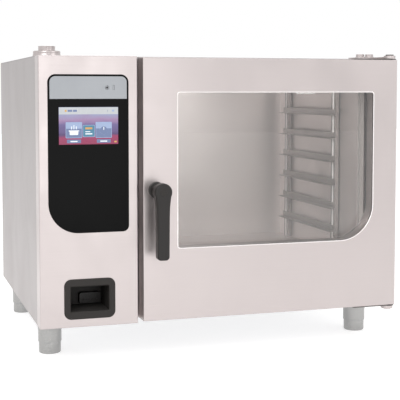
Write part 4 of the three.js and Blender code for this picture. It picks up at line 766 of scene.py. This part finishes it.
FEET = {
    "front_left": (-0.4495, -0.2195), "front_right": (0.4495, -0.2195),
    "rear_left": (-0.4495, 0.3175), "rear_right": (0.4495, 0.3175),
}
SLEEVE = [(33.9, 97.6), (33.9, 78.5), (33.6, 76.5), (31.9, 63), (31.4, 60.5), (31.4, 31.4), (31.0, 30.4),
          (30.2, 30.4), (30.2, 40), (30.9, 60), (32.6, 78), (32.6, 97.6), (33.9, 97.6)]
PAD = [(27.6, 0.2), (28.6, 1.0), (29.4, 3.0), (29.5, 26), (29.0, 29.4), (19, 29.6), (19, 79)]
for name, centre in FEET.items():
    turned(f"sleeve_{name}", SLEEVE, centre, "foot_steel", "cabinet")
    turned(f"pad_{name}", PAD, centre, "foot_steel", f"{name}_foot", (f"foot_{name}",))

VENT = (-0.3735, 0.2715)
VENT_BASE = [(27, 790.6), (49.6, 790.6), (50, 791.4), (50, 794), (49, 795), (45.5, 800), (42.6, 815),
             (42, 817.5), (42.4, 819), (42.4, 822), (41.6, 824.2), (39.5, 825.2), (27, 825.2), (27, 790.6)]
VENT_PIPE = [(26, 825), (26, 837), (26.6, 838), (26.6, 839.4), (26.0, 839.9), (24.9, 839.9), (24.5, 839.2),
             (24.5, 825), (26, 825)]
turned("vent_collar", VENT_BASE, VENT, "casing_steel", "cabinet", ("vent_base",))
turned("vent_mouth", VENT_PIPE, VENT, "casing_steel", "cabinet")
print("turned parts made")

# %% [markdown]
# The control panel is one sheet of gloss black with the display behind a cut-out, and a satin
# silver strip across its head. Plates like these are an outline with a rounded front edge.

# %% Plates on the column
def plate(name, outline, front, back, edge, slot, body, stands_for=(), holes=()):
    """A flat plate from an outline that takes an inset, with a rounded front edge and holes."""
    mesh = bmesh.new()
    face, side = rounded_rings(mesh, outline, front, edge, 3)
    rear = ring(mesh, outline(0), back)
    wall(mesh, side, rear)
    fronts, backs = [face], [rear]
    for hole in holes:
        mouth = ring(mesh, hole, front)
        end = ring(mesh, hole, back)
        wall(mesh, mouth, end)
        fronts.append(mouth)
        backs.append(end)
    close(mesh, *fronts)
    close(mesh, *backs)
    return finished_mesh(name, mesh, slot, body, stands_for, 40)


SHARPEST = 0.01 * MM


def box_outline(x0, x1, z0, z1, radius):
    """The same rounded rectangle, as a function of its inset."""
    def outline(inset):
        corner = max(radius - inset, SHARPEST)
        return round_outline(x0 + inset, x1 - inset, z0 + inset, z1 - inset, corner, 8)
    return outline


HEADER_LOW, HEADER_HIGH = span("header_strip")
BUTTON = (-0.3235, 0.7095)
BUTTON_R = 4.8 * MM
PANEL_EDGE = 1.4 * MM
HEADER_EDGE = 0.25 * MM
display_hole = inset_outline(DISPLAY_LOW, DISPLAY_HIGH, -0.3 * MM, 0.5 * MM, 3)
button_hole = circle_outline(*BUTTON, BUTTON_R + 0.5 * MM)
light_hole = round_outline(-0.3088, -0.3042, 0.7036, 0.7154, 0.4 * MM, 3)
plate(
    "panel_black", panel_outline, PANEL_LOW[1], PANEL_HIGH[1], PANEL_EDGE, "black_glass", "cabinet",
    ("control_panel",), [display_hole, button_hole, light_hole],
)


def header_outline(inset):
    top = 15 * MM - inset
    return inset_outline(HEADER_LOW, HEADER_HIGH, inset, (0.8 * MM, 0.8 * MM, top, top), 12)


plate(
    "header_silver", header_outline, HEADER_LOW[1], PANEL_LOW[1], HEADER_EDGE, "silver_trim", "cabinet",
    ("header_strip",), [button_hole, light_hole],
)
RING = [(2.6, -381.2), (2.9, -381.5), (3.5, -381.6), (4.3, -381.5), (4.7, -381.0), (4.7, -367),
        (2.6, -367), (2.6, -381.2)]
MIDDLE = [(1.6, -381.3), (2.2, -381.25), (2.4, -381.0), (2.4, -370)]
turned("button_ring", RING, BUTTON, "silver_trim", "power_key", ("power_button",), 40, "Y")
turned("button_middle", MIDDLE, BUTTON, "black_plastic", "power_key", (), 32, "Y")
print("panel, header and button made")

# %% [markdown]
# The start page on the display is made up: a pale bar with a few marks, two large tiles and a
# small one between them, with plain cooking signs. Each is a thin rounded plate just proud of
# the screen, so it stays crisp at any distance.

# %% Start page
SCREEN_FRONT = DISPLAY_LOW[1]
INLAY_RISE = 0.10 * MM
INLAY_EDGE = 0.02 * MM


def inlay(name, x0, x1, z0, z1, radius, finish, layer=1):
    """A thin rounded plate on the screen, in millimetres from its lower left corner."""
    left, low = DISPLAY_LOW[0], DISPLAY_LOW[2]
    outline = box_outline(left + x0 * MM, left + x1 * MM, low + z0 * MM, low + z1 * MM, radius * MM)
    front = SCREEN_FRONT - layer * INLAY_RISE
    back = SCREEN_FRONT - (layer - 1) * INLAY_RISE
    made = plate(name, outline, front, back, INLAY_EDGE, "display", "cabinet")
    made.data.materials.clear()
    made.data.materials.append(INLAY[finish])
    return made


inlay("page_bar", 0.3, 151.7, 76, 93.7, 0.5, "bar")
BAR_MARKS = [(15, 20, "amber"), (22, 34, "tile"), (36, 46, "tile"), (124, 124.8, "tile"), (136, 142, "frame")]
for step, (x0, x1, finish) in enumerate(BAR_MARKS):
    inlay(f"page_mark_{step}", x0, x1, 82.5, 87.5, 0.8, finish, 2)
for side, left in (("left", 17), ("right", 93.5)):
    inlay(f"tile_edge_{side}", left, left + 42, 16, 56.5, 2.0, "frame")
    inlay(f"tile_{side}", left + 1.2, left + 40.8, 17.2, 55.3, 1.4, "tile", 2)
    inlay(f"tile_shine_{side}", left + 1.2, left + 40.8, 40, 55.3, 1.2, "frame", 3)
    inlay(f"tile_base_{side}", left + 3, left + 39, 3.5, 12.5, 1.0, "tile", 1)
    inlay(f"tile_name_{side}", left + 12, left + 30, 6.2, 9.0, 0.6, "sign", 2)
inlay("tile_edge_middle", 60.5, 91.5, 18.5, 49, 1.6, "frame")
inlay("tile_middle", 61.6, 90.4, 19.6, 47.9, 1.2, "teal", 2)
inlay("tile_amber", 67, 85, 38, 43, 0.8, "amber", 3)
inlay("tile_lines", 67, 85, 25, 28, 0.6, "sign", 3)
inlay("tile_lines_low", 67, 80, 31, 33, 0.6, "sign", 3)
# A pan with steam on the left tile, and a dial with a pointer on the right one.
inlay("sign_pan", 27, 49, 24, 34, 2.0, "sign", 4)
inlay("sign_pan_rim", 24.5, 51.5, 33, 35.6, 1.0, "sign", 5)
for step, x in enumerate((31, 37, 43)):
    inlay(f"sign_steam_{step}", x, x + 2.0, 38, 46 + (step % 2) * 3, 1.0, "sign", 4)
inlay("sign_dial", 103.5, 125.5, 25.5, 47.5, 11.0, "sign", 4)
inlay("sign_dial_in", 106, 123, 28, 45, 8.4, "tile", 5)
inlay("sign_pointer", 113.4, 115.6, 36, 44, 0.9, "sign", 6)
inlay("page_corner", 142, 148, 4, 8, 0.6, "amber")
page = [piece for piece in bpy.data.objects if piece.name.startswith(("page", "tile", "sign"))]
print("start page:", len(page), "inlays")

# %% [markdown]
# The lever is a heavy moulding: a round head on the door's latch, running down into a flat grip
# with squared toe. Its outline is drawn once, given depth, and its edges are softened by a bevel
# modifier with a large radius, which leaves a flat front with a bright line down each side.

# %% Lever
LEVER_LOW = span("door_handle")[0]
AXIS = (-0.1945, 0.444)
LEVER_BACK = LEVER_LOW[1] + 28 * MM


def soften(piece, width, segments=4, degrees=30):
    """A bevel on the sharp edges, with its shading kept flat on the large faces."""
    bevel = piece.modifiers.new("softened", "BEVEL")
    bevel.width = width
    bevel.segments = segments
    bevel.limit_method = "ANGLE"
    bevel.angle_limit = math.radians(degrees)
    bevel.harden_normals = True


def build_lever():
    head = 23.2 * MM
    grip_left, grip_right = AXIS[0] - 16.6 * MM, AXIS[0] + 16.6 * MM
    toe = LEVER_LOW[2] + 0.2 * MM
    points = []
    for step in range(37):
        turn = math.radians(-28 + step * (236 / 36))
        points.append((AXIS[0] + head * math.cos(turn), AXIS[1] + head * math.sin(turn)))
    points += [
        (grip_left - 1.6 * MM, AXIS[1] - 24 * MM), (grip_left - 0.3 * MM, AXIS[1] - 40 * MM),
        (grip_left, AXIS[1] - 60 * MM), (grip_left + 0.8 * MM, toe + 7 * MM), (grip_left + 5 * MM, toe),
        (grip_right - 5 * MM, toe), (grip_right - 0.8 * MM, toe + 7 * MM),
        (grip_right, AXIS[1] - 60 * MM), (grip_right + 0.8 * MM, AXIS[1] - 38 * MM),
        (grip_right + 2.4 * MM, AXIS[1] - 22 * MM),
    ]
    mesh = bmesh.new()
    front = ring(mesh, points, LEVER_LOW[1])
    back = ring(mesh, points, LEVER_BACK)
    wall(mesh, front, back)
    mesh.faces.new(front)
    mesh.faces.new(back)
    lever = finished_mesh("lever", mesh, "black_plastic", "handle", ("door_handle",))
    soften(lever, 5.5 * MM, 5, 50)
    return lever


build_lever()
NECK = [(15, -426), (15, -396), (16.2, -391.5), (18, -389.2), (18, -388.9), (6.9, -388.9), (6.9, -426), (15, -426)]
ROSE = [(21.8, -378.9), (22, -380), (22, -385.2), (21.2, -387.4), (19.2, -388.5), (16.4, -388.5),
        (16.4, -378.9), (21.8, -378.9)]
CAP = [(9.6, -452.0), (9.9, -452.9), (9.6, -453.9), (8.9, -454.3), (8.0, -454.4)]
turned("lever_neck", NECK, AXIS, "black_plastic", "handle", (), 48, "Y")
turned("rose", ROSE, AXIS, "black_plastic", "door", ("handle_rosette",), 64, "Y")
turned("lever_cap", CAP, AXIS, "grey_plastic", "handle", ("handle_cap",), 48, "Y")
print("lever, neck, rose and cap made")

# %% [markdown]
# Round the cup of the hand shower lies a moulded bezel with a soft outer edge and a sloping inner
# one. In the cup the shower's head is a ribbed block with rounded edges. The bezel stands half a
# millimetre proud of the rim it covers.

# %% Shower bezel
BEZEL_LAP = 0.3 * MM
BEZEL_CORNER = 18.3 * MM
BEZEL_PROUD = 1.6 * MM
BEZEL_BACK = 1.9 * MM
RIBS = 5
RIB_STEP = 8 * MM


def build_bezel():
    def outside(inset):
        return inset_outline(RIM_LOW, RIM_HIGH, inset - BEZEL_LAP, BEZEL_CORNER - inset, 12)

    front, back = RIM_LOW[1] - BEZEL_PROUD, RIM_LOW[1] + BEZEL_BACK
    mesh = bmesh.new()
    face, side = rounded_rings(mesh, outside, front, 2.6 * MM, 5)
    rear = ring(mesh, outside(0), back)
    wall(mesh, side, rear)
    lip = ring(mesh, cup_outline(-2.2 * MM), front)
    mouth = ring(mesh, cup_outline(0.15 * MM), front + 2.4 * MM)
    end = ring(mesh, cup_outline(0.15 * MM), back)
    wall(mesh, lip, mouth)
    wall(mesh, mouth, end)
    close(mesh, face, lip)
    close(mesh, rear, end)
    return finished_mesh("shower_bezel", mesh, "grey_plastic", "cabinet", (), 30)


build_bezel()
HEAD_LOW = span("shower_head")[0]
for step in range(RIBS):
    x = HEAD_LOW[0] + 12 * MM + step * RIB_STEP
    outline = box_outline(x, x + 2.6 * MM, HEAD_LOW[2] + 17 * MM, HEAD_LOW[2] + 25 * MM, 1.2 * MM)
    front = HEAD_LOW[1] - 0.9 * MM
    plate(f"shower_rib_{step}", outline, front, HEAD_LOW[1], 0.4 * MM, "black_plastic", "shower")
SOFT_EDGES = {
    "shower_head": 2.2, "shower_trigger": 0.8, "hose_reel": 1.0, "hinge_top_bracket": 0.8,
    "hinge_bottom_bracket": 0.8, "touch_display": 0.3, "latch_housing": 1.5,
}
for node, width in SOFT_EDGES.items():
    soften(nodes[node], width * MM, 3, 40)
print("bezel and ribs made")

# %% [markdown]
# The racks are pressed from sheet. A rib runs down each post to stiffen it, and its near-white finish
# is a painted highlight along the post. The window gets a fine bright edge, a near-white steel on the lip of its
# cut-out that is a painted highlight.

# %% Ribs and window edge
RACKS = {"left_rack": (-0.1505, 1), "right_rack": (0.3915, -1)}
POSTS = {"front": -0.1885, "rear": 0.1715}
RIB_FOOT, RIB_TOP = 0.2295, 0.7045
RIB_SECTION = [(-4.2, 0), (-3.4, 0.9), (-2.0, 1.6), (0, 1.9), (2.0, 1.6), (3.4, 0.9), (4.2, 0)]
for body, (face, into) in RACKS.items():
    for end, y in POSTS.items():
        mesh = bmesh.new()
        foot, top = (
            [mesh.verts.new((face + into * rise * MM, y + along * MM, z)) for along, rise in RIB_SECTION]
            for z in (RIB_FOOT, RIB_TOP)
        )
        for one in range(len(RIB_SECTION) - 1):
            mesh.faces.new((foot[one], foot[one + 1], top[one + 1], top[one]))
        mesh.faces.new((foot[0], foot[-1], top[-1], top[0]))
        mesh.faces.new(foot)
        mesh.faces.new(top)
        rib = finished_mesh(f"{body}_rib_{end}", mesh, "chamber_steel", body, (), 60)
        # The rib's near-white finish is a painted highlight along the post.
        rib.data.materials[0] = FINISH["post_highlight_rib"]


EDGE_PROUD = 0.35 * MM
EDGE_SECTION = [(-2.2, 0.35), (-1.9, 0.08), (-1.1, 0.0), (-0.1, 0.15), (0.25, 0.6), (0.25, 1.6), (-2.2, 1.6)]


def build_window_edge():
    front = DOOR_LOW[1] - EDGE_PROUD
    mesh = bmesh.new()
    rings = [ring(mesh, window_outline(inset * MM), front + lower * MM) for inset, lower in EDGE_SECTION]
    for first, second in zip(rings, rings[1:] + rings[:1]):
        wall(mesh, first, second)
    edge = finished_mesh("window_edge", mesh, "casing_steel", "door", (), 60)
    # A near-white copy of the steel: a painted highlight along the window's cut edge.
    edge.data.materials[0] = FINISH["edge_highlight_steel"]


build_window_edge()
print("ribs and window edge made")

# %% [markdown]
# ## Room and light
# The room is a flat pale floor with a white world behind it, white to the camera, in metal and
# through glass. Large soft lamps light the oven. One stands straight before the column, and the
# brushed steel mirrors it there, which gives the front its slow change from left to right. A small
# lamp under the chamber's roof stands for the oven light.

# %% Floor
def seen_rays(tree, rays):
    """One where a ray shows the background: to the camera, in metal and through glass."""
    direct = math_node(tree, "MAXIMUM", rays.outputs["Is Camera Ray"], rays.outputs["Is Transmission Ray"])
    return math_node(tree, "MAXIMUM", direct, rays.outputs["Is Glossy Ray"])


def build_floor():
    mesh = bmesh.new()
    bmesh.ops.create_grid(mesh, x_segments=2, y_segments=2, size=14)
    data = bpy.data.meshes.new("floor")
    mesh.to_mesh(data)
    mesh.free()
    floor = bpy.data.objects.new("floor", data)
    bpy.context.scene.collection.objects.link(floor)
    made, tree, shader = start_material("pale_floor")
    shader.inputs["Roughness"].default_value = 0.7
    speckle = noise(tree, place_texture(tree, (1, 1, 1)), 3.0)
    pale = mixed(tree, speckle, (0.66, 0.65, 0.645, 1), (0.69, 0.68, 0.675, 1))
    tree.links.new(pale, shader.inputs["Base Color"])
    seen = seen_rays(tree, tree.nodes.new("ShaderNodeLightPath"))
    glow = mixed(tree, seen, (0, 0, 0, 1), (0.66, 0.66, 0.66, 1))
    tree.links.new(glow, shader.inputs["Emission Color"])
    shader.inputs["Emission Strength"].default_value = 1.0
    floor.data.materials.append(made)


build_floor()

# %% World and lamps
def build_world():
    world = bpy.data.worlds.new("studio")
    bpy.context.scene.world = world
    world.use_nodes = True
    tree = world.node_tree
    background = tree.nodes["Background"]
    seen = seen_rays(tree, tree.nodes.new("ShaderNodeLightPath"))
    tree.links.new(mixed(tree, seen, (0.62, 0.62, 0.62, 1), (1, 1, 1, 1)), background.inputs["Color"])
    background.inputs["Strength"].default_value = 1.0


def soft_lamp(name, place, aim, size, power):
    data = bpy.data.lights.new(name, "AREA")
    data.shape = "RECTANGLE"
    data.size, data.size_y = size
    data.energy = power
    lamp = bpy.data.objects.new(name, data)
    bpy.context.scene.collection.objects.link(lamp)
    lamp.location = place
    lamp.rotation_mode = "QUATERNION"
    lamp.rotation_quaternion = (Vector(aim) - Vector(place)).to_track_quat("-Z", "Y")
    lamp.visible_camera = lamp.visible_transmission = False


build_world()
soft_lamp("key", (-2.6, -3.4, 3.2), (0, 0, 0.4), (2.2, 2.2), 60)
soft_lamp("fill", (2.8, -2.6, 2.0), (0, 0, 0.4), (2.0, 2.0), 18)
soft_lamp("front_box", (0.05, -3.4, 0.75), (-0.35, -0.38, 0.45), (1.0, 2.2), 8.5)
soft_lamp("above", (0.0, 0.2, 3.4), (0, 0, 0.5), (2.6, 2.0), 30)
soft_lamp("oven_light", (0.10, -0.27, 0.71), (0.25, 0.1, 0.3), (0.40, 0.05), 0.55)
print("lamps:", [lamp.name for lamp in bpy.data.lights])
